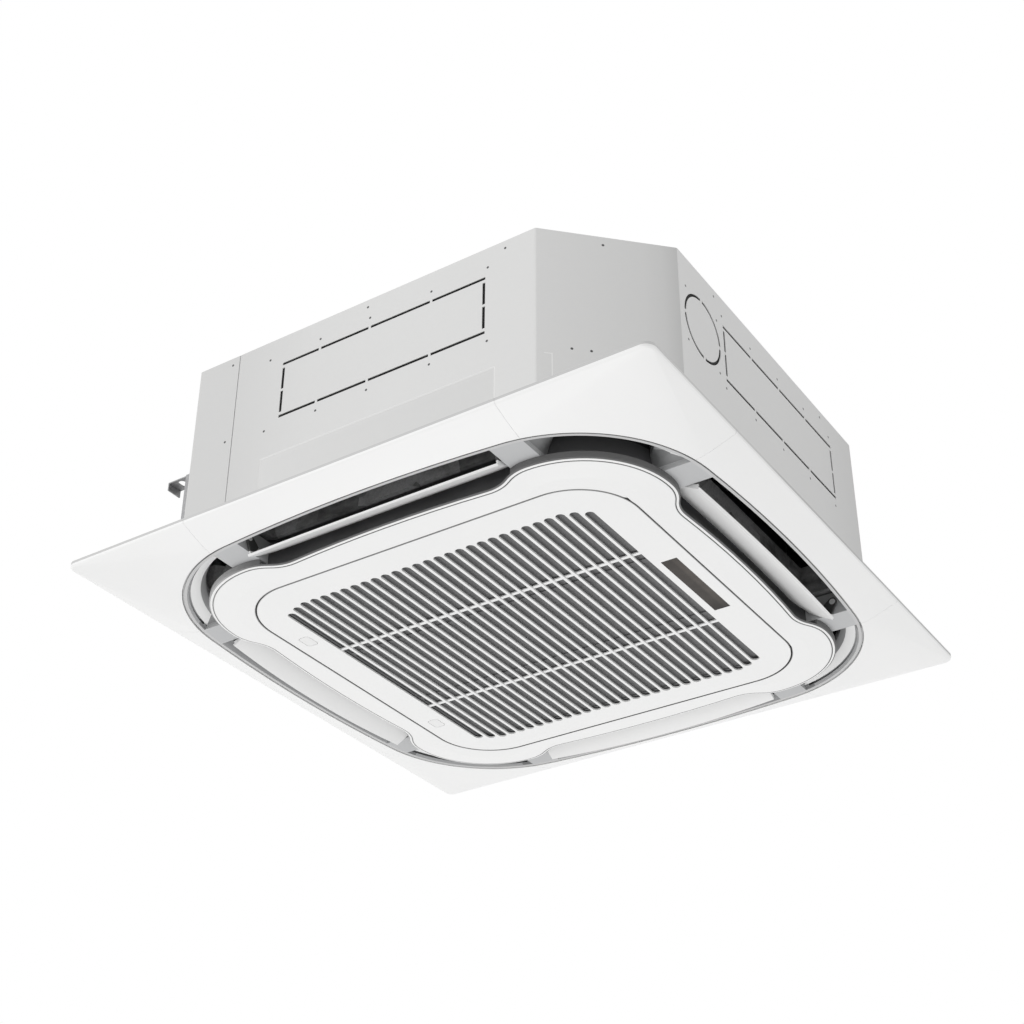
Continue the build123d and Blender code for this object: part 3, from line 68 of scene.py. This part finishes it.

# Outlet recess
recess_half = 431 * MM
recess_bow = 2400 * MM
recess_corner = 215 * MM
recess_centre = 206.2 * MM      # centre of a recess corner, from both axes
recess_join = 226.5 * MM        # where a side of the recess runs into a corner
corner_from = 254.5 * MM        # where the corner outlets begin
corner_end = 272 * MM           # and where their end walls stop
bead_in = 7.65 * MM             # recess to the inner edge of its bead
bead_face = -22.4 * MM
groove_in = 4.25 * MM
slope_in = 11.5 * MM            # recess to the corner slopes, at the height slope_at
slope_at = -18.5 * MM
slope_run = 1.8                 # inwards for each unit up
slope_low = -18.6 * MM
slope_high = -10.9 * MM
end_face = -24.8 * MM           # the lower edge of the corner outlets' end walls

# White ring and the gap round the grille
gap_centre = 216.5 * MM         # centre of a corner of the gap
gap_corner = 94.0 * MM
gap_half = 1.8 * MM
gap_wall = -1.65 * MM           # centre line of the gap to the grille's outer wall
groove_floor = -36.3 * MM
ring_slope = (-36.1 * MM, -34.0 * MM)
lip_shade_band = (-37.22 * MM, -36.96 * MM)
painted_light_to = -250 * MM            # painted light on the ring's shaded walls left of this
looks_down = -0.995             # share of a face's direction that points down

# Intake frame: painted light makes it grey where x and y are both under these
painted_light_x = -290 * MM
painted_light_y = -210 * MM

# Louvres
pivot_out = 395 * MM            # hinge pins
pivot_depth = 7 * MM
arm_from = 202.7 * MM
boss_radius = 4.6 * MM
arm_reach = 20 * MM

# Insulation
liner_out = 408 * MM            # outside of the liner
duct_in = 345 * MM              # air ducts, behind the louvres
duct_out = 405 * MM
duct_half = 235 * MM
shelf_from = 343.5 * MM         # the foam is a little paler out from here
seam_wall = -409 * MM           # foam that shows through the front's lap seam
painted_light_corner_from = -240 * MM         # painted light: the left corner lies past this on both axes
white_foam = (0.86, 0.86, 0.86)
outer_skin = (0.012, 0.012, 0.012)

# Display window: its middle, and its painted reflection's light and shade along its length
window_middle = 278.1 * MM
window_painted_reflection = ((-0.0813, 0.8), (-0.0407, 1.0), (0.0456, 0.95), (0.0813, 0.45))

# Features a metre in the plastics
flow_clouds = 9.0
gloss_clouds = 26.0
tool_grain = 1800.0

# ------------------------------------------------------------------ shader writing


class Value:
    """A shader socket whose arithmetic adds Math nodes to the graph it belongs to."""

    def __init__(self, graph, socket):
        self.graph = graph
        self.socket = socket

    def math(self, operation, *others):
        inputs = dict(enumerate((self,) + others))
        return self.graph.node("ShaderNodeMath", {"operation": operation}, inputs)

    def __add__(self, other):
        return self.math("ADD", other)

    __radd__ = __add__

    def __mul__(self, other):
        return self.math("MULTIPLY", other)

    __rmul__ = __mul__

    def __sub__(self, other):
        return self.math("SUBTRACT", other)

    def __rsub__(self, other):
        return self.graph.node("ShaderNodeMath", {"operation": "SUBTRACT"}, {0: other, 1: self})

    def size(self):
        """The value without its sign."""
        return self.math("ABSOLUTE")

    def least(self, other):
        return self.math("MINIMUM", other)

    def most(self, other):
        return self.math("MAXIMUM", other)

    def length(self, other):
        """The distance that two values make as the sides of a right angle."""
        return (self * self + other * other).math("SQRT")

    def sharpened(self, low, high):
        """0 below low, 1 above high and smooth between."""
        settings = {"interpolation_type": "SMOOTHSTEP"}
        inputs = {"Value": self, "From Min": low, "From Max": high}
        return self.graph.node("ShaderNodeMapRange", settings, inputs)

    def above(self, edge, soft):
        """1 above the edge, 0 below, blended over soft on either side of it."""
        return self.sharpened(edge - soft, edge + soft)

    def below(self, edge, soft):
        """1 below the edge, 0 above, blended over soft on either side of it."""
        return 1 - self.above(edge, soft)

    def between(self, low, high, soft):
        """1 from low to high, 0 elsewhere, with soft edges."""
        return self.above(low, soft) * self.below(high, soft)

    def course(self, points):
        """A value that runs straight from each (place, value) point to the next."""
        total = points[0][1]
        for (start, low), (end, high) in zip(points, points[1:]):
            inputs = {"Value": self, "From Min": start, "From Max": end}
            inputs.update({"To Min": 0.0, "To Max": high - low})
            total = self.graph.node("ShaderNodeMapRange", {}, inputs) + total
        return total


class Graph:
    """A node tree, and the one method that adds any node to it."""

    def __init__(self, tree):
        self.tree = tree

    def fill(self, inputs, name, value):
        """Gives one named or numbered input a link or a value."""
        if isinstance(value, Value):
            self.tree.links.new(value.socket, inputs[name])
        else:
            inputs[name].default_value = value

    def node(self, kind, settings, inputs, output=0):
        """Adds a node: its settings first, then the value or link of each input."""
        made = self.tree.nodes.new(kind)
        for name, value in settings.items():
            setattr(made, name, value)
        for name, value in inputs.items():
            self.fill(made.inputs, name, value)
        return Value(self, made.outputs[output]) if made.outputs else None


class Finish(Graph):
    """One material: its node tree, its principled shader and the object coordinates in metres."""

    def __init__(self, name):
        self.material = bpy.data.materials.new(name)
        self.material.use_nodes = True
        super().__init__(self.material.node_tree)
        self.shader = self.tree.nodes["Principled BSDF"]
        self.place = self.node("ShaderNodeTexCoord", {}, {}, "Object")

    def set(self, **inputs):
        """Sets or links the shader's own sockets, written with _ for a space."""
        for name, value in inputs.items():
            self.fill(self.shader.inputs, name.replace("_", " "), value)
        return self.material

    def noise(self, scale, detail=2.0, rough=0.5, place=None):
        """Noise from 0 to 1, with so many features a metre."""
        inputs = {"Vector": place or self.place, "Scale": scale}
        inputs.update({"Detail": detail, "Roughness": rough})
        return self.node("ShaderNodeTexNoise", {}, inputs, "Fac")

    def cells(self, scale, output="Distance"):
        """Cells, with so many a metre."""
        inputs = {"Vector": self.place, "Scale": scale}
        return self.node("ShaderNodeTexVoronoi", {}, inputs, output)

    def spangle(self, scale):
        """Cells again, each with a grey of its own."""
        return self.node("ShaderNodeRGBToBW", {}, {"Color": self.cells(scale, "Color")})

    def waves(self, scale, direction, profile="SIN"):
        """Parallel waves along one axis, with so many a metre."""
        settings = {"wave_type": "BANDS", "bands_direction": direction, "wave_profile": profile}
        inputs = {"Vector": self.place, "Scale": scale * 2 * pi / 20, "Distortion": 0.0}
        return self.node("ShaderNodeTexWave", settings, inputs, "Fac")

    def stretched(self, x, y, z):
        """The object coordinates, with each axis stretched."""
        return self.node("ShaderNodeMapping", {}, {"Vector": self.place, "Scale": (x, y, z)})

    def split(self, vector):
        """A vector as three values."""
        outputs = self.node("ShaderNodeSeparateXYZ", {}, {"Vector": vector}).socket.node.outputs
        return [Value(self, socket) for socket in outputs]

    def axes(self):
        """The object coordinates as three values, in metres."""
        return self.split(self.place)

    def facing(self):
        """The surface's own direction as three values, in object coordinates."""
        return self.split(self.node("ShaderNodeTexCoord", {}, {}, "Normal"))

    def upright(self):
        """1 on upright walls, 0 on faces that look down or up."""
        return 1 - self.facing()[2].size().sharpened(0.15, 0.3)

    def blend(self, mask, first, second):
        """A colour between two colours."""
        a = first if isinstance(first, Value) else (*first, 1.0)
        b = second if isinstance(second, Value) else (*second, 1.0)
        return self.node("ShaderNodeMix", {"data_type": "RGBA"}, {0: mask, 6: a, 7: b}, 2)

    def scaled(self, colour, amount):
        """A colour value made lighter or darker by a value."""
        grey = self.node("ShaderNodeCombineXYZ", {}, {0: amount, 1: amount, 2: amount})
        settings = {"data_type": "RGBA", "blend_type": "MULTIPLY"}
        return self.node("ShaderNodeMix", settings, {0: 1.0, 6: colour, 7: grey}, 2)

    def dots(self, across, up, points):
        """1 on the pilot holes at the given places of a flat face, 0 elsewhere."""
        nearest = None
        for a, b in points:
            away = (across - a * MM).length(up - b * MM)
            nearest = away if nearest is None else nearest.least(away)
        return nearest.below(hole_radius * MM, 0.4 * MM)

    def bump(self, height, strength, distance):
        """A bump from a height map."""
        inputs = {"Height": height, "Strength": strength, "Distance": distance}
        return self.node("ShaderNodeBump", {}, inputs, "Normal")


def shade(colour, amount):
    """A colour made lighter or darker by a share."""
    return tuple(min(1.0, c * amount) for c in colour)


def varied(finish, mask, colour, spread):
    """A colour that a mask varies by a share to either side."""
    return finish.blend(mask, shade(colour, 1 - spread), shade(colour, 1 + spread))


def farther(x, y):
    """Distance from the middle of the panel, measured square to the nearest side."""
    return x.size().most(y.size())


def nearer(x, y):
    """Distance along that side from its middle."""
    return x.size().least(y.size())


# ------------------------------------------------------------------ white mouldings of the panel


def plastic(name, colour, spread=0.015):
    """Injection moulded plastic: the finish, its tint with faint flow clouds, and its grain."""
    f = Finish(name)
    tint = varied(f, f.noise(flow_clouds, 3.0), colour, spread)
    return f, tint, f.noise(tool_grain, 2.0, 0.6)


def glossed(f, tint, roughness, grain, depth=0.00002):
    """Closes a plastic: uneven gloss and a fine spark eroded grain."""
    gloss = roughness + 0.1 * f.noise(gloss_clouds, 4.0)
    return f.set(Base_Color=tint, Roughness=gloss, Normal=f.bump(grain, 0.35, depth))


def moulded(name, colour, roughness, depth=0.00002, spread=0.02):
    """A plain moulded plastic."""
    f, tint, grain = plastic(name, colour, spread)
    return glossed(f, tint, roughness - 0.05, grain, depth)


def panel_moulding(name, colour):
    """The panel's white plastic, with painted shade on its rougher upright walls, deeper towards the
    back right.
    """
    f, tint, grain = plastic(name, colour)
    x, y, z = f.axes()
    # Painted shade: upright walls near the top are darkened, more so towards the back right.
    dimmer = (x + y).above(dimmer_from, 25 * MM)
    wall = f.upright() * z.above(wall_from, 1 * MM)
    tint = f.scaled(tint, 1 - wall * (0.33 + 0.12 * dimmer))
    return glossed(f, tint, 0.27 + 0.15 * wall, grain)


def grille_distance(x, y):
    """Distance outwards from the centre line of the gap round the grille, a rounded square."""
    far = (farther(x, y) - gap_centre).most(0.0)
    near = (nearer(x, y) - gap_centre).most(0.0)
    return far.length(near) - gap_corner


def ring_moulding(name, colour, dark):
    """The white ring: white face and rolled edge; painted shade in its thin groove, on its upright
    walls and as thin lines along its edges, with painted light on those walls towards the left.
    """
    f, tint, grain = plastic(name, colour)
    x, y, z = f.axes()
    # Painted shade: upright walls, the groove's floor and a sloping band are darkened, and thin dark
    # lines are painted along the rolled edge and the gap round the grille.
    groove_floor_shade = f.facing()[2].below(looks_down, 0.002) * z.above(groove_floor, 0.3 * MM)
    painted_shade = f.upright().most(groove_floor_shade).most(z.between(*ring_slope, 0.15 * MM))
    gap_shade_line = grille_distance(x, y).below(gap_half, 0.3 * MM)
    shade_lines = gap_shade_line.most(z.between(*lip_shade_band, 0.04 * MM))
    # Painted light: the painted shade on the walls is paler towards the left.
    left = x.below(painted_light_to, 50 * MM)
    tint = f.blend(0.6 * shade_lines, tint, dark)
    tint = f.blend(painted_shade, tint, f.blend(left, dark, shade(dark, 3.2)))
    return glossed(f, tint, 0.29 + 0.3 * painted_shade, grain)


def grille_moulding(name, colour, dark):
    """The grille's white plastic, with painted shade on its outer wall inside the gap round it and a
    painted dark line along that edge.
    """
    f, tint, grain = plastic(name, colour)
    x, y, _ = f.axes()
    away = grille_distance(x, y)
    # Painted shade: the outer wall in the gap round the grille, and a dark line along its edge.
    painted_shade = f.upright() * away.above(gap_wall, 0.15 * MM)
    edge = 0.6 * away.above(-gap_half, 0.3 * MM)
    tint = f.blend(edge.most(painted_shade), tint, dark)
    return glossed(f, tint, 0.29 + 0.3 * painted_shade, grain)


def louvre_moulding(name, colour, dark):
    """A louvre's white plastic: painted shade darkens its end arms, leaving a white boss round the
    hinge pin.
    """
    f, tint, grain = plastic(name, colour)
    x, y, z = f.axes()
    from_pin = (farther(x, y) - pivot_out).length(z + pivot_depth)
    # Painted shade on the end arms, all but a ring round the pin.
    painted_arm_shade = nearer(x, y).above(arm_from - 0.1 * MM, 0.1 * MM)
    painted_arm_shade = painted_arm_shade * from_pin.between(boss_radius, arm_reach, 0.3 * MM)
    return glossed(f, f.blend(painted_arm_shade, tint, dark), 0.25 + 0.2 * painted_arm_shade, grain)


def recess_inset(x, y):
    """How far a point lies inside the outlet recess, with its four bowed sides and corners."""
    far, near = farther(x, y), nearer(x, y)
    side = recess_bow - near.length(far + (recess_bow - recess_half))
    corner = recess_corner - (near - recess_centre).length(far - recess_centre)
    turned = near.above(recess_join, 1 * MM)
    return side * (1 - turned) + corner * turned


def outlet_moulding(name, grey, pale, bead_grey):
    """The outlet ring: grey, with a paler bead round the recess, painted light on the slopes in its
    corners, and painted shade in its groove and on its corner outlets' end walls.
    """
    f, tint, grain = plastic(name, grey, 0.03)
    x, y, z = f.axes()
    near, inset = nearer(x, y), recess_inset(x, y)
    bead = inset.below(bead_in, 0.25 * MM) * z.below(bead_face, 0.2 * MM)
    # Painted light: the slopes in the corners take the pale colour.
    rise = inset - slope_in - (z - slope_at) * slope_run
    painted_light_slope = rise.size().below(0.85 * MM, 0.15 * MM) * z.between(slope_low, slope_high, 0.1 * MM)
    painted_light_slope = painted_light_slope * near.above(corner_from + 0.2 * MM, 0.2 * MM)
    tint = f.blend(bead, f.blend(painted_light_slope, tint, pale), bead_grey)
    # Painted shade: the groove wall round the recess and the end walls of the corner outlets are
    # darkened by half.
    groove = f.upright() * inset.below(groove_in, 0.25 * MM)
    ends = near.between(corner_from + 0.3 * MM, corner_end, 0.3 * MM)
    ends = ends * z.above(end_face, 0.2 * MM) * (1 - painted_light_slope)
    tint = f.scaled(tint, 1 - 0.5 * groove.most(ends))
    return glossed(f, tint, 0.45 - 0.1 * bead.most(painted_light_slope), grain, 0.00004)


def frame_moulding(name, black, grey):
    """The intake frame's black plastic, with faint dust clouds, and grey towards the left corner as
    painted light.
    """
    f = Finish(name)
    x, y, _ = f.axes()
    painted_light_corner = x.below(painted_light_x, 50 * MM) * y.below(painted_light_y, 50 * MM)
    # Painted light in the left corner, on top of faint dust clouds.
    dust = (0.2 * f.noise(flow_clouds, 3.0) + 0.7 * painted_light_corner).least(1.0)
    relief = f.bump(f.noise(1500.0, 2.0, 0.6), 0.35, 0.00004)
    return f.set(Base_Color=f.blend(dust, black, grey), Roughness=0.45 + 0.2 * dust, Normal=relief)


# ------------------------------------------------------------------ metals


def tab_distance(across, up):
    """Distance from the edge of the small tab: its upright side, and its top towards the left."""
    side = (across - tab_side).size().most((up - tab_middle).size() - tab_half)
    half = tab_width / 2
    top = (up - tab_top).size().most((across - (tab_side - half)).size() - half)
    return side.least(top)


def casing_sheet(name, colour, dark):
    """The body's coated sheet: soft spangle, faint rolling lines, pilot holes along its edges;
    painted light and shade along its faces, painted highlights on its pressed step and tab.
    """
    f = Finish(name)
    x, y, z = f.axes()
    spangle = f.spangle(160.0)
    rolling = f.noise(30.0, 3.0, 0.5, f.stretched(1.0, 1.0, 14.0))
    clouds = f.noise(5.0, 2.0)
    mask = 0.25 * spangle + 0.35 * rolling + 0.4 * clouds
    front = y.below(0.4 * MM - half_body, 0.2 * MM)
    right = x.above(half_body - 0.4 * MM, 0.2 * MM)
    chamfer = (x - y).above(chamfer_line - 0.75 * MM, 0.25 * MM)
    corner = chamfer * (1 - front) * (1 - right)
    along = (x + y) * sqrt(0.5)
    # Painted light and shade: each outer face of the sheet gets lighter or darker along its length.
    painted_shading = x.course(front_painted_shading) * front + along.course(corner_painted_shading) * corner
    painted_shading = painted_shading + y.course(right_painted_shading) * right + (1 - front.most(chamfer).most(right))
    tint = f.scaled(varied(f, mask, colour, 0.015), painted_shading)
    # Painted highlights: the edges of the front's pressed step and of the small corner tab are
    # lightened.
    painted_step_highlight = f.facing()[1].sharpened(-0.97, -0.9) * z.between(step_low, step_high, 1 * MM)
    painted_step_highlight = painted_step_highlight * x.size().below(step_half, 2.5 * MM) * y.below(-step_out, 1 * MM)
    painted_tab_highlight = tab_distance(along, z).below(0.6 * MM, 0.3 * MM) * corner
    tint = f.scaled(tint, 1 + 0.16 * painted_step_highlight + 0.2 * painted_tab_highlight)
    holes = (f.dots(x, z, front_holes) * front).most(f.dots(y, z, right_holes) * right)
    holes = holes.most(f.dots(along, z, corner_holes) * corner)
    relief = f.bump(clouds + 0.05 * spangle - 0.4 * holes, 0.2, 0.0006)
    return f.set(Base_Color=f.blend(holes, tint, dark), Roughness=0.4 + 0.12 * mask, Normal=relief)


def galvanised(name, colour):
    """Galvanised sheet: clear spangle cells on a dull metal."""
    f = Finish(name)
    spangle = f.spangle(220.0)
    mask = 0.7 * spangle + 0.3 * f.noise(40.0, 3.0)
    tint = f.blend(mask, shade(colour, 0.82), shade(colour, 1.15))
    f.set(Base_Color=tint, Roughness=0.34 + 0.16 * spangle, Metallic=0.8)
    return f.set(Normal=f.bump(spangle, 0.2, 0.00004))


def turned_steel(name, colour):
    """Turned steel: fine rings and a satin shine."""
    f = Finish(name)
    lines = f.noise(900.0, 2.0, 0.6, f.stretched(1.0, 6.0, 6.0))
    tint = f.blend(lines, shade(colour, 0.85), shade(colour, 1.1))
    f.set(Base_Color=tint, Roughness=0.25 + 0.15 * lines, Metallic=1.0)
    return f.set(Normal=f.bump(lines, 0.2, 0.00002))


def copper_tube(name):
    """Drawn copper: bright, with brown clouds where it was brazed."""
    f = Finish(name)
    stain = f.noise(35.0, 4.0, 0.6).sharpened(0.45, 0.75)
    tint = f.blend(stain, (0.78, 0.38, 0.22), (0.42, 0.19, 0.11))
    f.set(Base_Color=tint, Roughness=0.28 + 0.25 * stain, Metallic=1.0)
    return f.set(Normal=f.bump(stain, 0.1, 0.0001))


def fin_pack(name):
    """Coil fins: thin upright aluminium plates, with painted shade between them."""
    f = Finish(name)
    slats = (f.waves(450.0, "X") * f.waves(450.0, "Y")).sharpened(0.1, 0.7)
    dust = f.noise(20.0, 4.0)
    # Painted shade in the gaps between the fins.
    tint = f.blend(slats - 0.15 * dust, (0.1, 0.1, 0.11), (0.62, 0.64, 0.66))
    f.set(Base_Color=tint, Roughness=0.4 + 0.2 * dust, Metallic=0.6)
    return f.set(Normal=f.bump(slats, 0.6, 0.0006))


# ------------------------------------------------------------------ foam, rubber and small parts


def foam(name, colour, size):
    """Cut foam: open cells that catch the light, on an uneven colour."""
    f = Finish(name)
    cells = f.cells(size)
    mask = 0.5 * cells + 0.5 * f.noise(14.0, 3.0)
    tint = f.blend(mask, shade(colour, 1.25), shade(colour, 0.7))
    return f.set(Base_Color=tint, Roughness=0.9 - 0.1 * cells, Normal=f.bump(cells, 0.5, 0.0008))


def shaped_foam(name, dark, light, size):
    """Moulded foam of the body: open cells, blotched smooth skin in the air ducts, black outside,
    white as painted light in the left corner, and white behind the front's lap seam."""
    f = Finish(name)
    x, y, _ = f.axes()
    far, near = farther(x, y), nearer(x, y)
    cells = f.cells(size)
    blotches = f.noise(13.0, 3.0, 0.6, f.stretched(1.0, 1.0, 2.0)).sharpened(0.38, 0.66)
    patches = f.spangle(24.0).sharpened(0.3, 0.75)
    duct = near.below(duct_half, 10 * MM) * far.between(duct_in, duct_out, 2 * MM)
    mask = duct * (0.2 + 0.5 * blotches + 0.5 * patches) + 0.1 * blotches
    mask = mask + 0.08 * far.above(shelf_from, 3.5 * MM)
    tint = f.blend(mask.least(1.0), dark, light)
    tint = f.blend(far.above(liner_out, 1 * MM), tint, outer_skin)
    behind_seam = (x - front_seam).size().below(4 * MM, 1 * MM) * y.below(seam_wall, 1 * MM)
    # Painted light: the left corner takes the white foam colour; the strip behind the front's lap
    # seam is white too.
    painted_light_corner = x.below(painted_light_corner_from, 10 * MM) * y.below(painted_light_corner_from, 10 * MM)
    tint = f.blend(behind_seam.most(painted_light_corner), tint, white_foam)
    tint = f.scaled(tint, 1.15 - 0.3 * cells)
    return f.set(Base_Color=tint, Roughness=0.85 - 0.1 * cells, Normal=f.bump(cells, 0.4, 0.0006))


def rubber(name, colour):
    """Moulded rubber: dull, with a dusty bloom."""
    f = Finish(name)
    bloom = f.noise(60.0, 4.0, 0.6)
    tint = f.blend(bloom, shade(colour, 0.8), shade(colour, 1.4))
    relief = f.bump(f.noise(900.0), 0.3, 0.00005)
    return f.set(Base_Color=tint, Roughness=0.7 + 0.2 * bloom, Normal=relief)


def filter_net(name):
    """Woven filter net: a fine square weave, lighter threads over dark gaps, a little dust."""
    f = Finish(name)
    weave = f.waves(620.0, "X").sharpened(0.3, 0.8) + f.waves(620.0, "Y").sharpened(0.3, 0.8)
    dust = f.noise(22.0, 4.0, 0.6)
    tint = f.blend(0.4 * weave + 0.25 * dust, (0.07, 0.07, 0.071), (0.24, 0.24, 0.243))
    return f.set(Base_Color=tint, Roughness=0.75, Normal=f.bump(weave, 0.4, 0.0004))


def smoked_window(name):
    """Smoked display window: deep and glossy, with a faint haze, and a painted reflection: darker
    towards its ends, lighter past its middle.
    """
    f = Finish(name)
    x, y, _ = f.axes()
    haze = f.noise(70.0, 3.0)
    # Painted reflection: darker towards the window's ends, and a painted sheen on the half past its
    # middle.
    depth = y.course(window_painted_reflection)
    painted_sheen = 1 + 0.5 * x.above(window_middle + 3 * MM, 3 * MM)
    tint = f.blend(haze, (0.042, 0.036, 0.032), (0.066, 0.058, 0.051))
    f.set(Base_Color=f.scaled(tint, depth * painted_sheen), Roughness=0.16 + 0.08 * haze)
    f.set(Coat_Weight=0.1 * depth, Specular_IOR_Level=0.25)
    return f.set(Normal=f.bump(haze, 0.05, 0.0002))


def circuit_board(name):
    """Lacquered board: green mask over straight copper runs."""
    f = Finish(name)
    runs = f.waves(160.0, "X", "SAW").sharpened(0.4, 0.5) * f.noise(90.0).sharpened(0.4, 0.55)
    tint = f.blend(runs, (0.02, 0.14, 0.06), (0.07, 0.3, 0.14))
    return f.set(Base_Color=tint, Roughness=0.35 + 0.1 * runs, Normal=f.bump(runs, 0.3, 0.00005))


# ------------------------------------------------------------------ one finish for each slot

white = (0.88, 0.88, 0.876)
coarse = 0.00004                # depth of a coarser grain than the panel's
finishes = {
    "panel_white": panel_moulding("panel white", white),
    "grille_white": grille_moulding("grille white", white, (0.1, 0.1, 0.1)),
    "louvre_white": louvre_moulding("louvre white", (0.83, 0.83, 0.826), (0.07, 0.07, 0.07)),
    "latch_white": moulded("latch white", (0.84, 0.84, 0.835), 0.32),
    "outlet_grey": outlet_moulding("outlet grey", (0.5, 0.505, 0.51), white, (0.56, 0.56, 0.56)),
    "frame_black": frame_moulding("frame black", (0.055, 0.055, 0.057), (0.5, 0.5, 0.505)),
    "pin_steel": turned_steel("pin steel", (0.62, 0.62, 0.63)),
    "filter_plastic": moulded("filter plastic", (0.13, 0.13, 0.132), 0.6, coarse, 0.1),
    "filter_net": filter_net("filter net"),
    "window_smoke": smoked_window("smoked window"),
    "board_green": circuit_board("circuit board"),
    "motor_metal": galvanised("motor metal", (0.4, 0.4, 0.41)),
    "seal_foam": foam("seal foam", (0.04, 0.04, 0.042), 500.0),
    "casing_metal": casing_sheet("casing metal", (0.7, 0.7, 0.695), (0.05, 0.05, 0.05)),
    "liner_foam": shaped_foam("liner foam", (0.05, 0.05, 0.052), (0.45, 0.45, 0.455), 260.0),
    "pan_foam": shaped_foam("pan foam", (0.03, 0.03, 0.031), (0.62, 0.62, 0.625), 350.0),
    "plug_rubber": rubber("plug rubber", (0.03, 0.03, 0.03)),
    "bell_plastic": moulded("bell plastic", (0.03, 0.03, 0.032), 0.5, coarse, 0.1),
    "coil_fins": fin_pack("coil fins"),
    "plate_metal": galvanised("plate metal", (0.6, 0.61, 0.62)),
    "hanger_metal": galvanised("hanger metal", (0.34, 0.34, 0.345)),
    "box_metal": galvanised("box metal", (0.5, 0.5, 0.51)),
    "copper": copper_tube("copper tube"),
    "impeller_plastic": moulded("impeller plastic", (0.05, 0.05, 0.055), 0.5, coarse, 0.1),
    "terminal_plastic": moulded("terminal plastic", (0.75, 0.75, 0.72), 0.45),
    "pump_plastic": moulded("pump plastic", (0.7, 0.7, 0.68), 0.45),
    "hose_rubber": rubber("hose rubber", (0.25, 0.25, 0.25)),
    "float_plastic": moulded("float plastic", (0.65, 0.65, 0.63), 0.6),
}
for part in frame["record"]["subparts"]:
    materials = nodes[part["node"]].data.materials
    materials.clear()
    materials.append(finishes[part["material_slot"]])
nodes["inner_ring"].data.materials[0] = ring_moulding("ring white", white, (0.13, 0.13, 0.13))

# ------------------------------------------------------------------ camera

# The camera stands low beyond the front right corner and looks up at the panel.
focal_px = 1798.3
image_px = 1024
camera_place = Vector((1.25922, -1.95833, -1.30895))
camera_right = Vector((0.83626, 0.54832, 0.00347))
camera_down = Vector((-0.29244, 0.45135, -0.84307))
camera_forward = Vector((-0.46384, 0.70401, 0.53780))
camera_data = bpy.data.cameras.new("camera")
camera_data.sensor_width = 36.0
camera_data.lens = focal_px / image_px * camera_data.sensor_width
camera = bpy.data.objects.new("camera", camera_data)
turn = Matrix((camera_right, -camera_down, -camera_forward)).transposed().to_4x4()
camera.matrix_world = Matrix.Translation(camera_place) @ turn
bpy.context.scene.collection.objects.link(camera)
bpy.context.scene.camera = camera

# ------------------------------------------------------------------ studio

lit_point = Vector((0, 0, 0.1))


def soft_light(name, place, size, power):
    """A square lamp that faces the object and isn't seen itself."""
    data = bpy.data.lights.new(name, "AREA")
    data.shape = "SQUARE"
    data.size = size
    data.energy = power
    lamp = bpy.data.objects.new(name, data)
    lamp.location = place
    lamp.rotation_euler = (lit_point - Vector(place)).to_track_quat("-Z", "Y").to_euler()
    lamp.visible_camera = False
    bpy.context.scene.collection.objects.link(lamp)


soft_light("light under", (-0.2, 0.1, -2.7), 2.6, 31.0)
soft_light("light front", (-1.4, -3.2, 0.3), 2.4, 36.0)
soft_light("light right", (3.2, 0.2, 0.5), 2.0, 8.0)

# The world is white where the camera, gloss or glass sees it, and dimmer as light on the object.
plain_white = (1.0, 1.0, 1.0, 1.0)
ambient_strength = 0.66
world = bpy.data.worlds.new("studio")
bpy.context.scene.world = world
world.use_nodes = True
world.node_tree.nodes.clear()
sky = Graph(world.node_tree)
rays = sky.node("ShaderNodeLightPath", {}, {}).socket.node.outputs
seen = Value(sky, rays["Is Camera Ray"])
for kind in ("Is Glossy Ray", "Is Transmission Ray"):
    seen = seen.most(Value(sky, rays[kind]))
ambient_inputs = {"Color": plain_white, "Strength": ambient_strength}
ambient = sky.node("ShaderNodeBackground", {}, ambient_inputs)
backdrop = sky.node("ShaderNodeBackground", {}, {"Color": plain_white})
mixed = sky.node("ShaderNodeMixShader", {}, {0: seen, 1: ambient, 2: backdrop})
sky.node("ShaderNodeOutputWorld", {}, {0: mixed})

floor_z = -3.6
floor_half = 8.0
floor_lines = 9


def floor_mesh():
    """A flat square, on a grid of two parameters along X and Y."""
    span = np.linspace(-floor_half, floor_half, floor_lines)
    u, v = np.meshgrid(span, span, indexing="ij")
    points = np.stack([u, v, 0 * u + floor_z], -1).reshape(-1, 3)
    index = np.arange(floor_lines**2).reshape(floor_lines, floor_lines)
    quads = np.stack([index[:-1, :-1], index[1:, :-1], index[1:, 1:], index[:-1, 1:]], -1)
    mesh = bpy.data.meshes.new("floor")
    mesh.from_pydata(points.tolist(), [], quads.reshape(-1, 4).tolist())
    return mesh


floor = bpy.data.objects.new("floor", floor_mesh())
bpy.context.scene.collection.objects.link(floor)
paper = Finish("floor paper")
paper_tint = paper.blend(paper.noise(3.0, 3.0), (0.88, 0.88, 0.88), (0.92, 0.92, 0.92))
floor.data.materials.append(paper.set(Base_Color=paper_tint, Roughness=0.9))
bpy.context.scene.view_settings.view_transform = "Standard"
